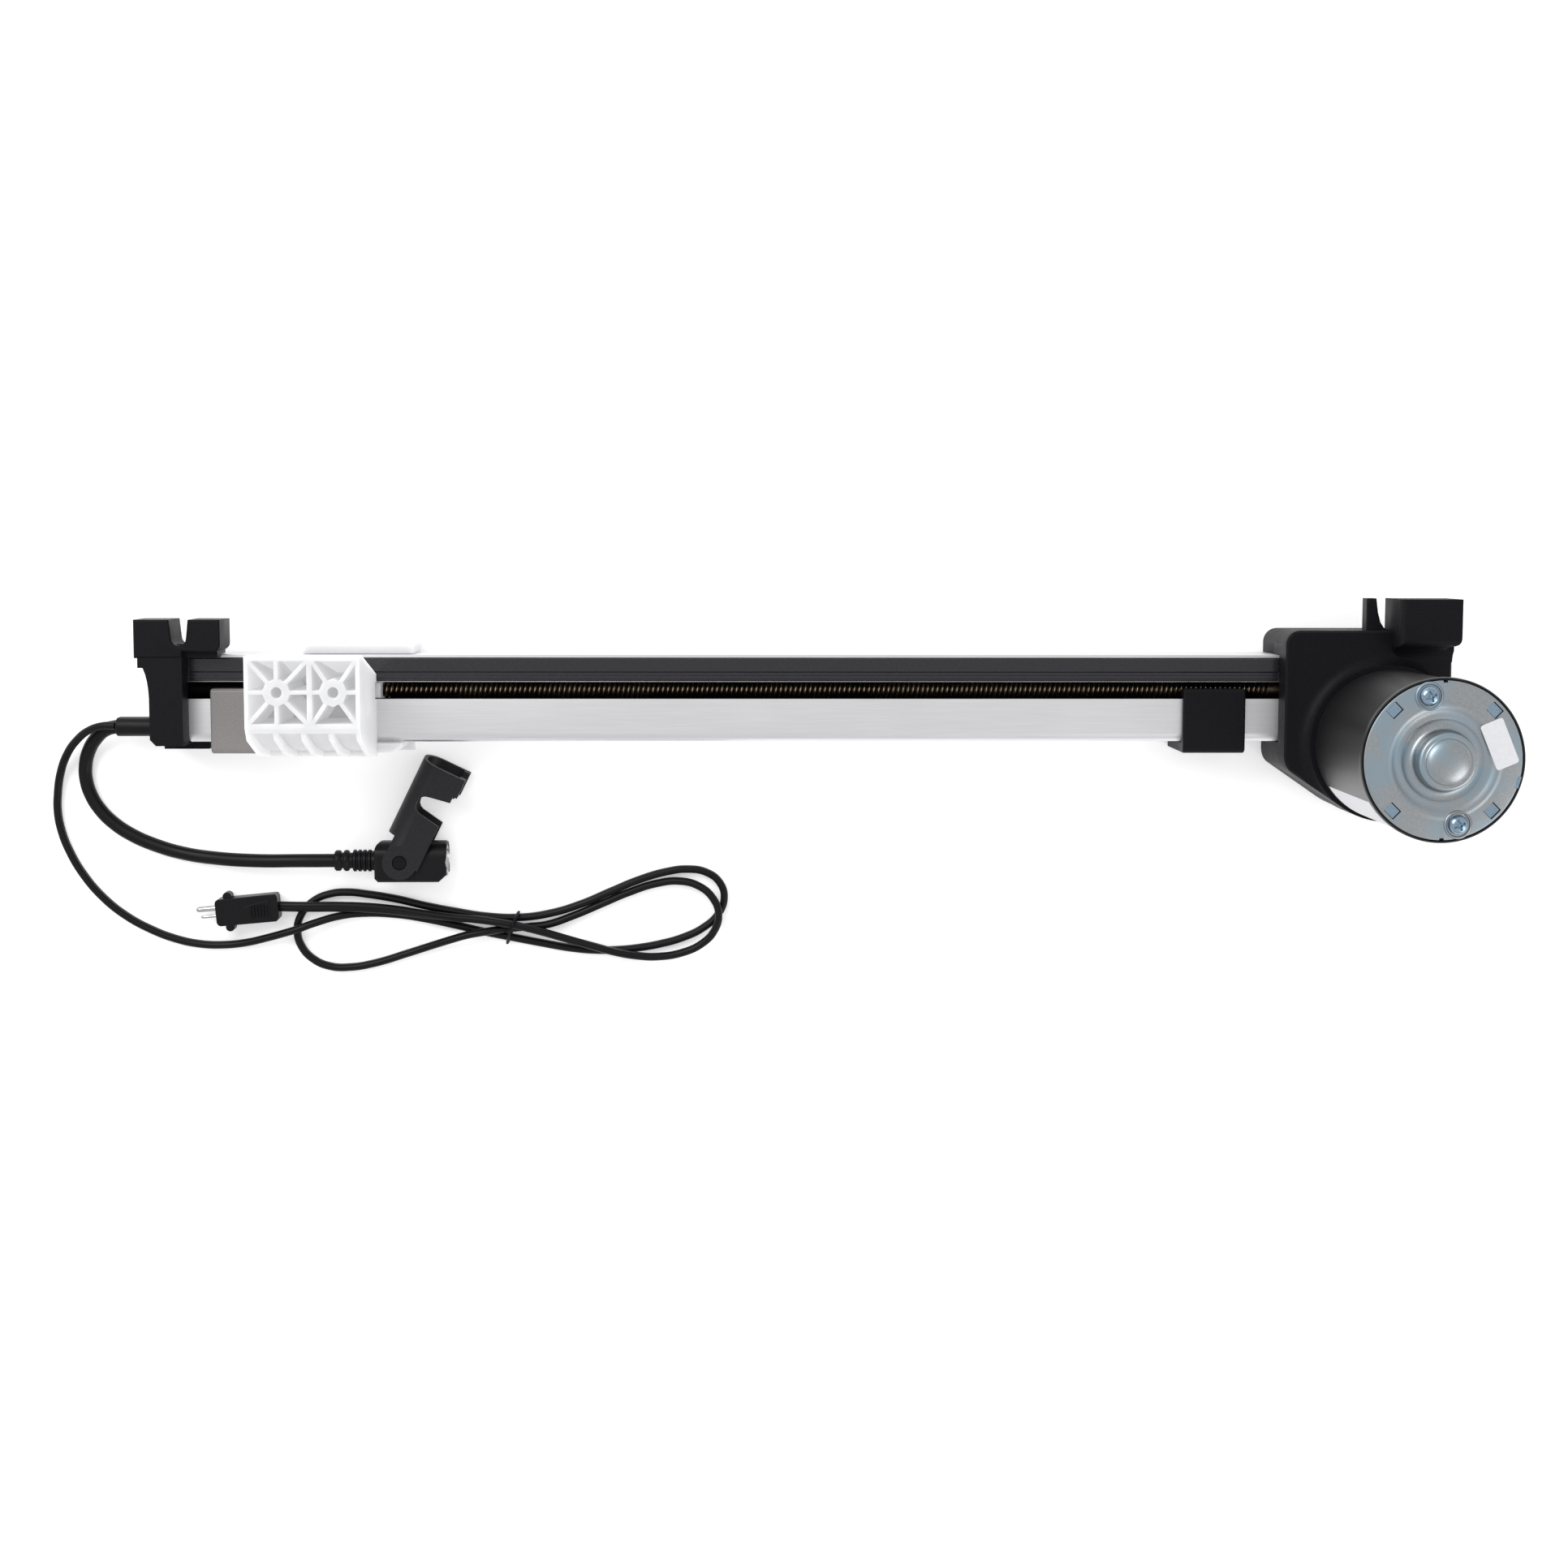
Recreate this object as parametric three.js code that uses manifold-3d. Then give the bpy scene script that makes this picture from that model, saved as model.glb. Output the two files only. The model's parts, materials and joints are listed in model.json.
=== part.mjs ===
// A lead-screw linear drive: a slotted rail with a nylon carriage, a worm gearbox and a motor at one end,
// a forked end cap at the other, and two leads. X runs along the rail from its left end, Y is measured
// from the lead screw's axis and Z from the surface that the drive lies on. Sizes are in millimetres.
import * as THREE from "three";
import { mergeVertices } from "three/addons/utils/BufferGeometryUtils.js";
import Module from "manifold-3d";

const wasm = await Module();
wasm.setup();

// Driving dimensions
const GAP = 0.3; // between pieces that touch
const SCREW_Z = 22;
const RAIL = { left: 0.6, right: 488, bottom: -22.1, top: 15.4, back: 5, front: 35 };
const SLOT = { low: -3.5, high: 3.8 };
const TUNNEL_R = 7;
const CHANNEL = { low: 4.0, high: 14.2, floor: 31 };
const SCREW_R = 4.4;
const JOURNAL_R = 4;
const CAP = { left: -2, right: 12, bottom: -25.8, front: 48, skirt: 18.4 };
const LEFT_FORK = { left: -8.1, slotLeft: 6.8, slotRight: 14.7, right: 28.1, top: 30.6, back: 24 };
const CARRIAGE = { left: 45.3, right: 91.9, bottom: -12.3, top: 17.2, front: 89, foot: -28 };
const SLEEVE = { left: 56, right: 104.5, back: 0.8 };
const BOX = { left: 480, right: 551.4, top: 26.4, front: 48, split: 24 };
const MOTOR = { x: 524.1, y: -21.9, can: 32, base: 51.3, rim: 33, end: 131.6 };
const COLLAR_R = 33.4;
const WHEEL = { teeth: 24, tip: 16.5, root: 14.4, left: 519.1, right: 529.1 };
const RIGHT_FORK = { left: 515.2, mouth: 525.2, right: 551.4, bottom: 20, top: 40.1, back: 36, front: 62 };
const SOCKET = { left: 87.4, right: 118.9, y: -76.3, z: 9.9, halfWidth: 8.8, halfHeight: 7.6 };
const LATCH = { x: 98.6, degrees: 64, length: 46.2, outer: 10.6, inner: 9, half: 9.5, halfInner: 7.9 };
const CONTROL_LEAD = 6;
const POWER_LEAD = 4.4;
const FLOOR_CLEARANCE = 0.2;

const MATERIALS = {
  aluminium: [0xc9cacd, 0.35, 0.9],
  blackGloss: [0x17181b, 0.2, 0],
  blackMatte: [0x2b2b2f, 0.55, 0],
  steel: [0x8f8a80, 0.35, 1],
  bearing: [0xb9bcc0, 0.3, 1],
  nylon: [0xeeeef0, 0.45, 0],
  nut: [0xdfe3e5, 0.4, 0],
  greyPlastic: [0x8d8988, 0.5, 0],
  zinc: [0xb8c6cf, 0.3, 1],
  copper: [0xb06a3a, 0.4, 1],
  iron: [0x5a5b5e, 0.5, 1],
  ferrite: [0x3c3c40, 0.7, 0],
  brass: [0xb8974f, 0.35, 1],
  rubber: [0x1d1d20, 0.6, 0],
};

// A closed three.js geometry as a solid that can be joined and cut.
function solid(geometry) {
  const bare = (geometry.index ? geometry.toNonIndexed() : geometry).clone();
  bare.deleteAttribute("normal");
  bare.deleteAttribute("uv");
  const merged = mergeVertices(bare, 1e-4);
  return new wasm.Manifold(
    new wasm.Mesh({
      numProp: 3,
      vertProperties: merged.attributes.position.array,
      triVerts: new Uint32Array(merged.index.array),
    }),
  );
}

function geometryOf(body) {
  const mesh = body.getMesh();
  const geometry = new THREE.BufferGeometry();
  geometry.setAttribute("position", new THREE.BufferAttribute(mesh.vertProperties, 3));
  geometry.setIndex(new THREE.BufferAttribute(mesh.triVerts, 1));
  geometry.computeVertexNormals();
  return geometry;
}

const join = (...bodies) => bodies.reduce((a, b) => a.add(b));
const cut = (body, ...tools) => tools.reduce((a, b) => a.subtract(b), body);

const AXES = {
  x: [new THREE.Vector3(0, 1, 0), new THREE.Vector3(0, 0, 1), new THREE.Vector3(1, 0, 0)],
  y: [new THREE.Vector3(0, 0, 1), new THREE.Vector3(1, 0, 0), new THREE.Vector3(0, 1, 0)],
  z: [new THREE.Vector3(1, 0, 0), new THREE.Vector3(0, 1, 0), new THREE.Vector3(0, 0, 1)],
};

// An outline pulled along an axis. The outline's own two axes are Y and Z for a prism along X, Z and X
// for one along Y, and X and Y for one along Z. A chamfer rounds off both ends.
function prismGeometry(shape, axis, from, to, chamfer = 0, curveSegments = 4) {
  const geometry = new THREE.ExtrudeGeometry(shape, {
    depth: to - from - 2 * chamfer,
    curveSegments,
    bevelEnabled: chamfer > 0,
    bevelSize: chamfer,
    bevelOffset: -chamfer,
    bevelThickness: chamfer,
    bevelSegments: 1,
  });
  geometry.translate(0, 0, from + chamfer);
  return geometry.applyMatrix4(new THREE.Matrix4().makeBasis(...AXES[axis]));
}

const prism = (...spec) => solid(prismGeometry(...spec));

function polygon(...points) {
  return new THREE.Shape(points.map(([a, b]) => new THREE.Vector2(a, b)));
}

function rounded(left, right, bottom, top, radius) {
  const shape = new THREE.Shape();
  shape.moveTo(left + radius, bottom);
  shape.lineTo(right - radius, bottom);
  shape.absarc(right - radius, bottom + radius, radius, -Math.PI / 2, 0, false);
  shape.lineTo(right, top - radius);
  shape.absarc(right - radius, top - radius, radius, 0, Math.PI / 2, false);
  shape.lineTo(left + radius, top);
  shape.absarc(left + radius, top - radius, radius, Math.PI / 2, Math.PI, false);
  shape.lineTo(left, bottom + radius);
  shape.absarc(left + radius, bottom + radius, radius, Math.PI, 1.5 * Math.PI, false);
  return shape;
}

function circle(x, y, radius, segments = 20) {
  const points = [];
  for (let i = 0; i < segments; i++) {
    const angle = (2 * Math.PI * i) / segments;
    points.push([x + radius * Math.cos(angle), y + radius * Math.sin(angle)]);
  }
  return polygon(...points);
}

function boxGeometry(left, right, bottom, top, back, front) {
  const geometry = new THREE.BoxGeometry(right - left, top - bottom, front - back);
  return geometry.translate((left + right) / 2, (bottom + top) / 2, (back + front) / 2);
}

const box = (...limits) => solid(boxGeometry(...limits));

// A turned piece: profile points are [radius, place along the axis], from axis to axis or closed.
function turned(axis, profile, centre, segments = 24) {
  const points = profile.map(([radius, place]) => new THREE.Vector2(radius, place));
  const geometry = new THREE.LatheGeometry(points, segments);
  if (axis === "x") geometry.rotateZ(-Math.PI / 2);
  if (axis === "z") geometry.rotateX(Math.PI / 2);
  return geometry.translate(...centre);
}

function ring(axis, inner, outer, from, to, centre, segments = 16) {
  const profile = [
    [inner, from],
    [outer, from],
    [outer, to],
    [inner, to],
    [inner, from],
  ];
  return turned(axis, profile, centre, segments);
}

// A round cord along hand-picked points.
function cordGeometry(points, diameter, sides, steps) {
  const curve = new THREE.CatmullRomCurve3(points.map((p) => new THREE.Vector3(...p)), false, "centripetal");
  const section = circle(0, 0, diameter / 2, sides);
  return new THREE.ExtrudeGeometry(section, { steps, extrudePath: curve, bevelEnabled: false });
}

const assembly = new THREE.Group();
const drive = new THREE.Group();
const cords = new THREE.Group();
assembly.add(drive, cords);

function add(group, name, shape, finish) {
  const geometry = shape.isBufferGeometry ? shape : geometryOf(shape);
  const [color, roughness, metalness] = MATERIALS[finish];
  const mesh = new THREE.Mesh(geometry, new THREE.MeshStandardMaterial({ color, roughness, metalness }));
  mesh.name = name;
  group.add(mesh);
}

// The rail: screw tunnel with its slot, wire channel, hollow lower chamber and grooves in the back
function makeRail() {
  const { left, right, bottom, top, back, front } = RAIL;
  const outline = new THREE.Shape();
  outline.moveTo(bottom + 1, back);
  outline.lineTo(top, back);
  outline.lineTo(top, front);
  outline.lineTo(bottom + 4, front);
  outline.absarc(bottom + 4, front - 4, 4, Math.PI / 2, Math.PI, false);
  outline.lineTo(bottom, back + 1);
  const past = [left - 1, right + 1];
  const cuts = [
    prism(circle(0, SCREW_Z, TUNNEL_R), "x", ...past),
    box(...past, SLOT.low, SLOT.high, SCREW_Z, front + 1),
    box(...past, CHANNEL.low, CHANNEL.high, CHANNEL.floor, front + 1),
    prism(rounded(bottom + 2.5, -9.5, back + 2.5, front - 3, 2), "x", ...past),
    box(...past, -17, -12, back - 1, back + 1.2),
    box(...past, 4, 9, back - 1, back + 1.2),
  ];
  add(drive, "rail", cut(prism(outline, "x", left, right), ...cuts), "aluminium");
}

function makeWireCover() {
  const { low, high, floor } = CHANNEL;
  const face = RAIL.front + 0.4;
  const section = polygon(
    [low + GAP, floor + GAP],
    [high - GAP, floor + GAP],
    [high - GAP, face - 0.6],
    [high - 0.9, face],
    [low + 3.6, face],
    [low + 3.0, face - 0.7],
    [low + GAP, face - 0.7],
  );
  add(drive, "wire_channel_cover", prism(section, "x", CAP.right + GAP, BOX.left - GAP), "blackGloss");
}

function makeScrew() {
  const bearingStop = 9;
  const profile = [
    [0, 2.5],
    [3, 2.5],
    [3, bearingStop],
    [SCREW_R, bearingStop],
    [SCREW_R, BOX.left + 9],
    [JOURNAL_R, BOX.left + 9],
    [JOURNAL_R, 547],
    [0, 547],
  ];
  add(drive, "lead_screw", turned("x", profile, [0, 0, SCREW_Z], 20), "steel");
  const seat = [0, 0, SCREW_Z];
  add(drive, "screw_end_bearing", ring("x", 3 + GAP, TUNNEL_R - GAP, 2.5, 8.5, seat), "bearing");
  add(drive, "screw_drive_bearing_1", ring("x", JOURNAL_R + GAP, 8.7, 492, 499, seat), "bearing");
  add(drive, "screw_drive_bearing_2", ring("x", JOURNAL_R + GAP, 8.7, 541, 547, seat), "bearing");
}

// The wheel that the worm drives sits on the screw's plain end
function makeWormWheel() {
  const outline = [];
  for (let tooth = 0; tooth < WHEEL.teeth; tooth++) {
    for (const [part, radius] of [[0, WHEEL.root], [0.28, WHEEL.root], [0.42, WHEEL.tip], [0.86, WHEEL.tip]]) {
      const angle = (2 * Math.PI * (tooth + part)) / WHEEL.teeth;
      outline.push([radius * Math.cos(angle), SCREW_Z + radius * Math.sin(angle)]);
    }
  }
  const shape = polygon(...outline);
  shape.holes.push(circle(0, SCREW_Z, JOURNAL_R + GAP));
  add(drive, "worm_wheel", prismGeometry(shape, "x", WHEEL.left, WHEEL.right), "brass");
}

// One fork: two prongs with a slot between them that takes a plate
function forkOutline({ left, slotLeft, slotRight, right, top }, bottom, slotFloor, footRight) {
  const shape = new THREE.Shape();
  const slotR = (slotRight - slotLeft) / 2;
  shape.moveTo(left, bottom - 2.8);
  shape.lineTo(footRight, bottom - 2.8);
  shape.lineTo(footRight, bottom);
  shape.lineTo(right - 3, bottom);
  shape.absarc(right - 3, bottom + 3, 3, -Math.PI / 2, 0, false);
  shape.lineTo(right, top);
  shape.lineTo(slotRight, top);
  shape.lineTo(slotRight - 0.8, slotFloor + slotR);
  shape.absarc(slotLeft + slotR, slotFloor + slotR, slotR - 0.8, 0, -Math.PI, true);
  shape.lineTo(slotLeft, top);
  shape.lineTo(left, top);
  return shape;
}

function makeEndCap() {
  const { left, right, bottom, front, skirt } = CAP;
  const arm = new THREE.Shape();
  arm.moveTo(left + 2.5, RAIL.bottom - 0.6);
  arm.lineTo(right, RAIL.bottom - 0.6);
  arm.lineTo(right, 14.6);
  arm.lineTo(-6.6, 14.6);
  arm.lineTo(-6.6, 10.3);
  arm.lineTo(-4.4, 10.3);
  arm.quadraticCurveTo(-2.2, 5.5, left, -3);
  arm.lineTo(left, RAIL.bottom + 2);
  const body = join(
    prism(arm, "z", 0, front),
    prism(forkOutline(LEFT_FORK, 17.2, 18.8, right), "z", LEFT_FORK.back, front, 0.6),
    box(left, LEFT_FORK.right - 2, 14.4, 20.2, LEFT_FORK.back + 0.8, front - 5),
    prism(rounded(left + 1, skirt, bottom, 18.4, 2), "z", 0, 15),
    box(left + 1, skirt, bottom, -20, 0, 24),
  );
  const pocket = box(GAP, skirt + 20, RAIL.bottom - GAP, RAIL.top + GAP, RAIL.back - GAP, RAIL.front + GAP);
  add(drive, "end_cap", cut(body, pocket), "blackMatte");
  const neck = prism(rounded(-20.9, -12.7, 7.2, 20.4, 4), "x", -23, left - GAP, 0.6);
  const flange = prism(rounded(-21.7, -11.9, 6.4, 21.2, 4.6), "x", -6.6, left - GAP);
  add(drive, "cable_boot", join(neck, flange), "rubber");
}

// The carriage: a tall ribbed block in front of the rail, and a sleeve that wraps round behind it
function makeCarriage() {
  const { left, right, bottom, top, front, foot } = CARRIAGE;
  const base = RAIL.front + 0.4;
  const profile = polygon(
    [7.1, base],
    [top, 81],
    [top, front],
    [bottom, front],
    [-17.5, 85],
    [-25.2, 62],
    [foot, 39],
    [foot, base],
  );
  const sleeve = SLEEVE.back + 3.8;
  const lowerFlange = [
    [SLEEVE.left, foot + 1.4],
    [98, foot + 1.4],
    [102.5, -24.4],
    [102.5, RAIL.bottom - 0.4],
    [SLEEVE.left, RAIL.bottom - 0.4],
  ];
  const upperFlange = [
    [60, RAIL.top + 0.4],
    [107.5, RAIL.top + 0.4],
    [107.5, 20.2],
    [63, 20.2],
    [61, 19.4],
    [60, 17.2],
  ];
  let body = join(
    prism(profile, "x", left, right),
    box(SLEEVE.left, SLEEVE.right, foot, top, SLEEVE.back, sleeve),
    prism(polygon(...lowerFlange), "z", SLEEVE.back, base + 2),
    prism(polygon(...upperFlange), "z", SLEEVE.back, 33),
  );
  const ribs = 5;
  const pitch = (right - left - 1.8) / (ribs - 1);
  const scoop = polygon(
    [bottom - 2, front + 1],
    [bottom - 2, 84],
    [-21.6, 60],
    [-25.4, 39],
    [-25.4, 37.5],
    [-40, 37.5],
    [-40, front + 1],
  );
  for (let bay = 0; bay < ribs - 1; bay++) {
    const from = left + bay * pitch + 1.8;
    body = cut(body, prism(scoop, "x", from, from + pitch - 1.8));
  }
  const cellTop = top - 2;
  const cellBottom = bottom + 1.8;
  const cell = polygon(
    [cellBottom, 50],
    [8.6, 50],
    [cellTop, 80],
    [cellTop, front + 1],
    [cellBottom, front + 1],
  );
  const cells = [
    { left: left + 1.5, right: 70.6, boss: 58.2, upright: true },
    { left: 72.6, right: right - 1.6, boss: 81.1, upright: false },
  ];
  const bossY = 2.4;
  for (const { left: cellLeft, right: cellRight, boss, upright } of cells) {
    const hollow = prism(cell, "x", cellLeft, cellRight);
    let filling = prism(circle(boss, bossY, 5.8, 8), "z", 49, front);
    const corners = [cellLeft, cellRight].flatMap((x) => [cellBottom, cellTop].map((y) => [x, y]));
    const ends = [...corners, [cellLeft, bossY], [cellRight, bossY]];
    if (upright) ends.push([boss, cellBottom], [boss, cellTop]);
    for (const [x, y] of ends) {
      const dx = x - boss;
      const dy = y - bossY;
      const rib = new THREE.BoxGeometry(Math.hypot(dx, dy), 1.6, front - 49);
      rib.rotateZ(Math.atan2(dy, dx));
      rib.translate((x + boss) / 2, (y + bossY) / 2, (front + 49) / 2);
      filling = filling.add(solid(rib));
    }
    body = cut(body, cut(hollow, filling), prism(circle(boss, bossY, 2.3, 16), "z", 56, front + 1));
  }
  const socket = box(57.5, right + 1, SLOT.low, SLOT.high, base - 1, 40);
  add(drive, "carriage", cut(body, socket), "nylon");
  const shell = prism(circle(0, SCREW_Z, TUNNEL_R - 0.4), "x", 58, 93.4);
  const neck = box(58, 93.4, -3.1, 3.4, SCREW_Z, 34.6);
  const key = box(58, 91, -3.1, 3.4, 34, 39.6);
  const bore = prism(circle(0, SCREW_Z, SCREW_R + 0.3), "x", 57, 97);
  add(drive, "drive_nut", cut(join(shell, neck, key), bore), "nut");
}

// A stop that clips on from below: it holds the rail's front and back, with a lip in the slot
function makeStop(name, left, right, proud, finish) {
  const front = RAIL.front + proud;
  const section = new THREE.Shape();
  section.moveTo(0, 1.2);
  section.lineTo(0, RAIL.back - GAP);
  section.lineTo(RAIL.bottom - GAP, RAIL.back - GAP);
  section.lineTo(RAIL.bottom - GAP, RAIL.front - 2.2);
  section.lineTo(RAIL.bottom + 2.2, RAIL.front + GAP);
  section.lineTo(-3.1, RAIL.front + GAP);
  section.lineTo(-3.1, CHANNEL.floor);
  section.lineTo(0.9, CHANNEL.floor);
  section.lineTo(0.9, front - 1);
  section.lineTo(-0.1, front);
  section.lineTo(-24.5, front);
  section.absarc(-24.5, front - 2.4, 2.4, Math.PI / 2, Math.PI, false);
  section.lineTo(-26.9, 1.2);
  add(drive, name, prismGeometry(section, "x", left, right, 0.5), finish);
}

// Both halves of the gearbox share an outline: a box round the wheel that runs into a disc round the worm
function gearboxOutline(grow) {
  const shape = new THREE.Shape();
  const { left, right, top } = BOX;
  const r = COLLAR_R + grow;
  const startAngle = Math.acos((right + grow - MOTOR.x) / r);
  const corner = 6;
  shape.moveTo(left - grow, top + grow - corner);
  shape.lineTo(left - grow, -26.5);
  shape.quadraticCurveTo(left - grow, -31.8, left + 3.4, -34.3 - grow);
  shape.absarc(MOTOR.x, MOTOR.y, r, -2.175, startAngle, false);
  shape.lineTo(right + grow, top - 6);
  shape.lineTo(right + grow - 6, top + grow);
  shape.lineTo(left - grow + corner, top + grow);
  shape.absarc(left - grow + corner, top + grow - corner, corner, Math.PI / 2, Math.PI, false);
  return shape;
}

const GEARBOX_SCREWS = [
  [495, 20.6],
  [485.6, -29],
  [501, -39],
  [538.5, -44.5],
  [546.6, 16],
];

function gearboxHollow() {
  const { bottom, top, back, front } = RAIL;
  const rail = box(BOX.left - 5, RAIL.right + 0.5, bottom - GAP, top + GAP, back - GAP, front + GAP);
  const wheel = prism(circle(0, SCREW_Z, WHEEL.tip + 1.5), "x", 503, 537);
  const worm = prism(circle(MOTOR.x, MOTOR.y, 8.5), "z", 5.5, 44);
  const mesh = box(515, 533, -22, 0, 5.5, 38.5);
  const passage = prism(circle(0, SCREW_Z, 6), "x", BOX.left, 545);
  const places = [[491.7, 499.3], [540.7, 547.5]];
  const seats = places.map(([from, to]) => prism(circle(0, SCREW_Z, 9), "x", from, to));
  return join(rail, wheel, worm, mesh, passage, ...seats);
}

// A thin left prong set back from the cover's face, and a tall right prong that stands out of the face
// and curves into it underneath
function makeRightFork(face) {
  const { left, mouth, right, bottom, top, back, front } = RIGHT_FORK;
  const leftProng = polygon(
    [left, BOX.top - 3],
    [left, top],
    [left + 4.2, top],
    [left + 5, 34],
    [left + 6.1, 30],
    [left + 7.6, 27.6],
    [mouth - 0.4, BOX.top + 0.2],
    [mouth + 1, BOX.top - 3],
  );
  const block = new THREE.Shape();
  block.moveTo(top, back);
  block.lineTo(top, front);
  block.lineTo(bottom + 3.4, front);
  block.quadraticCurveTo(bottom, front, bottom, front - 4);
  block.quadraticCurveTo(bottom, face + 0.6, bottom - 7, face - 0.2);
  block.lineTo(bottom - 7, back);
  const edge = new THREE.Shape();
  edge.moveTo(front + 1, mouth - 1);
  edge.lineTo(front - 3.3, mouth - 1);
  edge.lineTo(front - 3.3, mouth);
  edge.quadraticCurveTo(front, mouth, front, mouth + 3.3);
  edge.lineTo(front + 1, mouth + 3.3);
  const leftCorner = new THREE.Shape();
  leftCorner.moveTo(mouth - 1, bottom);
  leftCorner.lineTo(mouth, bottom);
  leftCorner.quadraticCurveTo(mouth + 0.6, bottom - 5.4, mouth + 8, bottom - 6.6);
  leftCorner.lineTo(mouth + 8, bottom - 9);
  leftCorner.lineTo(mouth - 1, bottom - 9);
  const rightCorner = new THREE.Shape();
  rightCorner.moveTo(right - 3.7, bottom - 9);
  rightCorner.lineTo(right - 3.7, bottom);
  rightCorner.quadraticCurveTo(right, bottom, right, bottom + 3.7);
  rightCorner.lineTo(right + 1, bottom + 3.7);
  rightCorner.lineTo(right + 1, bottom - 9);
  const rightProng = cut(
    prism(block, "x", mouth, right),
    prism(edge, "y", -front, front),
    prism(leftCorner, "z", face + 0.1, front + 1),
    prism(rightCorner, "z", face + 2.4, front + 1),
  );
  return join(prism(leftProng, "z", back, face - 4, 0.6), rightProng);
}

function makeGearbox() {
  const { split, front, left } = BOX;
  const hollow = gearboxHollow();
  const backScrews = GEARBOX_SCREWS.flatMap(([x, y]) => [
    prism(circle(x, y, 1.9, 12), "z", -1, split + 1),
    prism(circle(x, y, 3.4, 12), "z", -1, 3),
  ]);
  const back = cut(prism(gearboxOutline(-0.4), "z", 0, split - GAP / 2, 0.8, 20), hollow, ...backScrews);
  add(drive, "gearbox_back_cover", back, "blackMatte");

  const collarProfile = [
    [0, front - 2],
    [38.6, front - 2],
    [38.6, front],
    [37, front + 0.3],
    [35.4, front + 1],
    [34.2, front + 2.2],
    [33.8, MOTOR.base - GAP],
    [0, MOTOR.base - GAP],
  ];
  const around = box(450, 580, -80, 40, front - 3, 60);
  const outside = cut(around, prism(gearboxOutline(0), "z", front - 4, 61, 0, 20));
  const collar = cut(solid(turned("z", collarProfile, [MOTOR.x, MOTOR.y, 0], 40)), outside);
  const frontScrews = GEARBOX_SCREWS.map(([x, y]) => prism(circle(x, y, 1.9, 12), "z", split - 1, 36));
  const cover = prism(gearboxOutline(0), "z", split + GAP / 2, front, 0.8, 20);
  const body = join(cover, makeRightFork(front), collar);
  const tools = [hollow, prism(circle(MOTOR.x, MOTOR.y, 9.4), "z", 40, 60), ...frontScrews];
  add(drive, "gearbox_front_cover", cut(body, ...tools), "blackMatte");

  GEARBOX_SCREWS.forEach(([x, y], i) => {
    const profile = [
      [0, 0.7],
      [3.0, 0.7],
      [3.0, 2.7],
      [1.6, 2.7],
      [1.6, 34],
      [0, 34],
    ];
    add(drive, `gearbox_screw_${i + 1}`, turned("z", profile, [x, y, 0], 12), "iron");
  });
}

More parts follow.
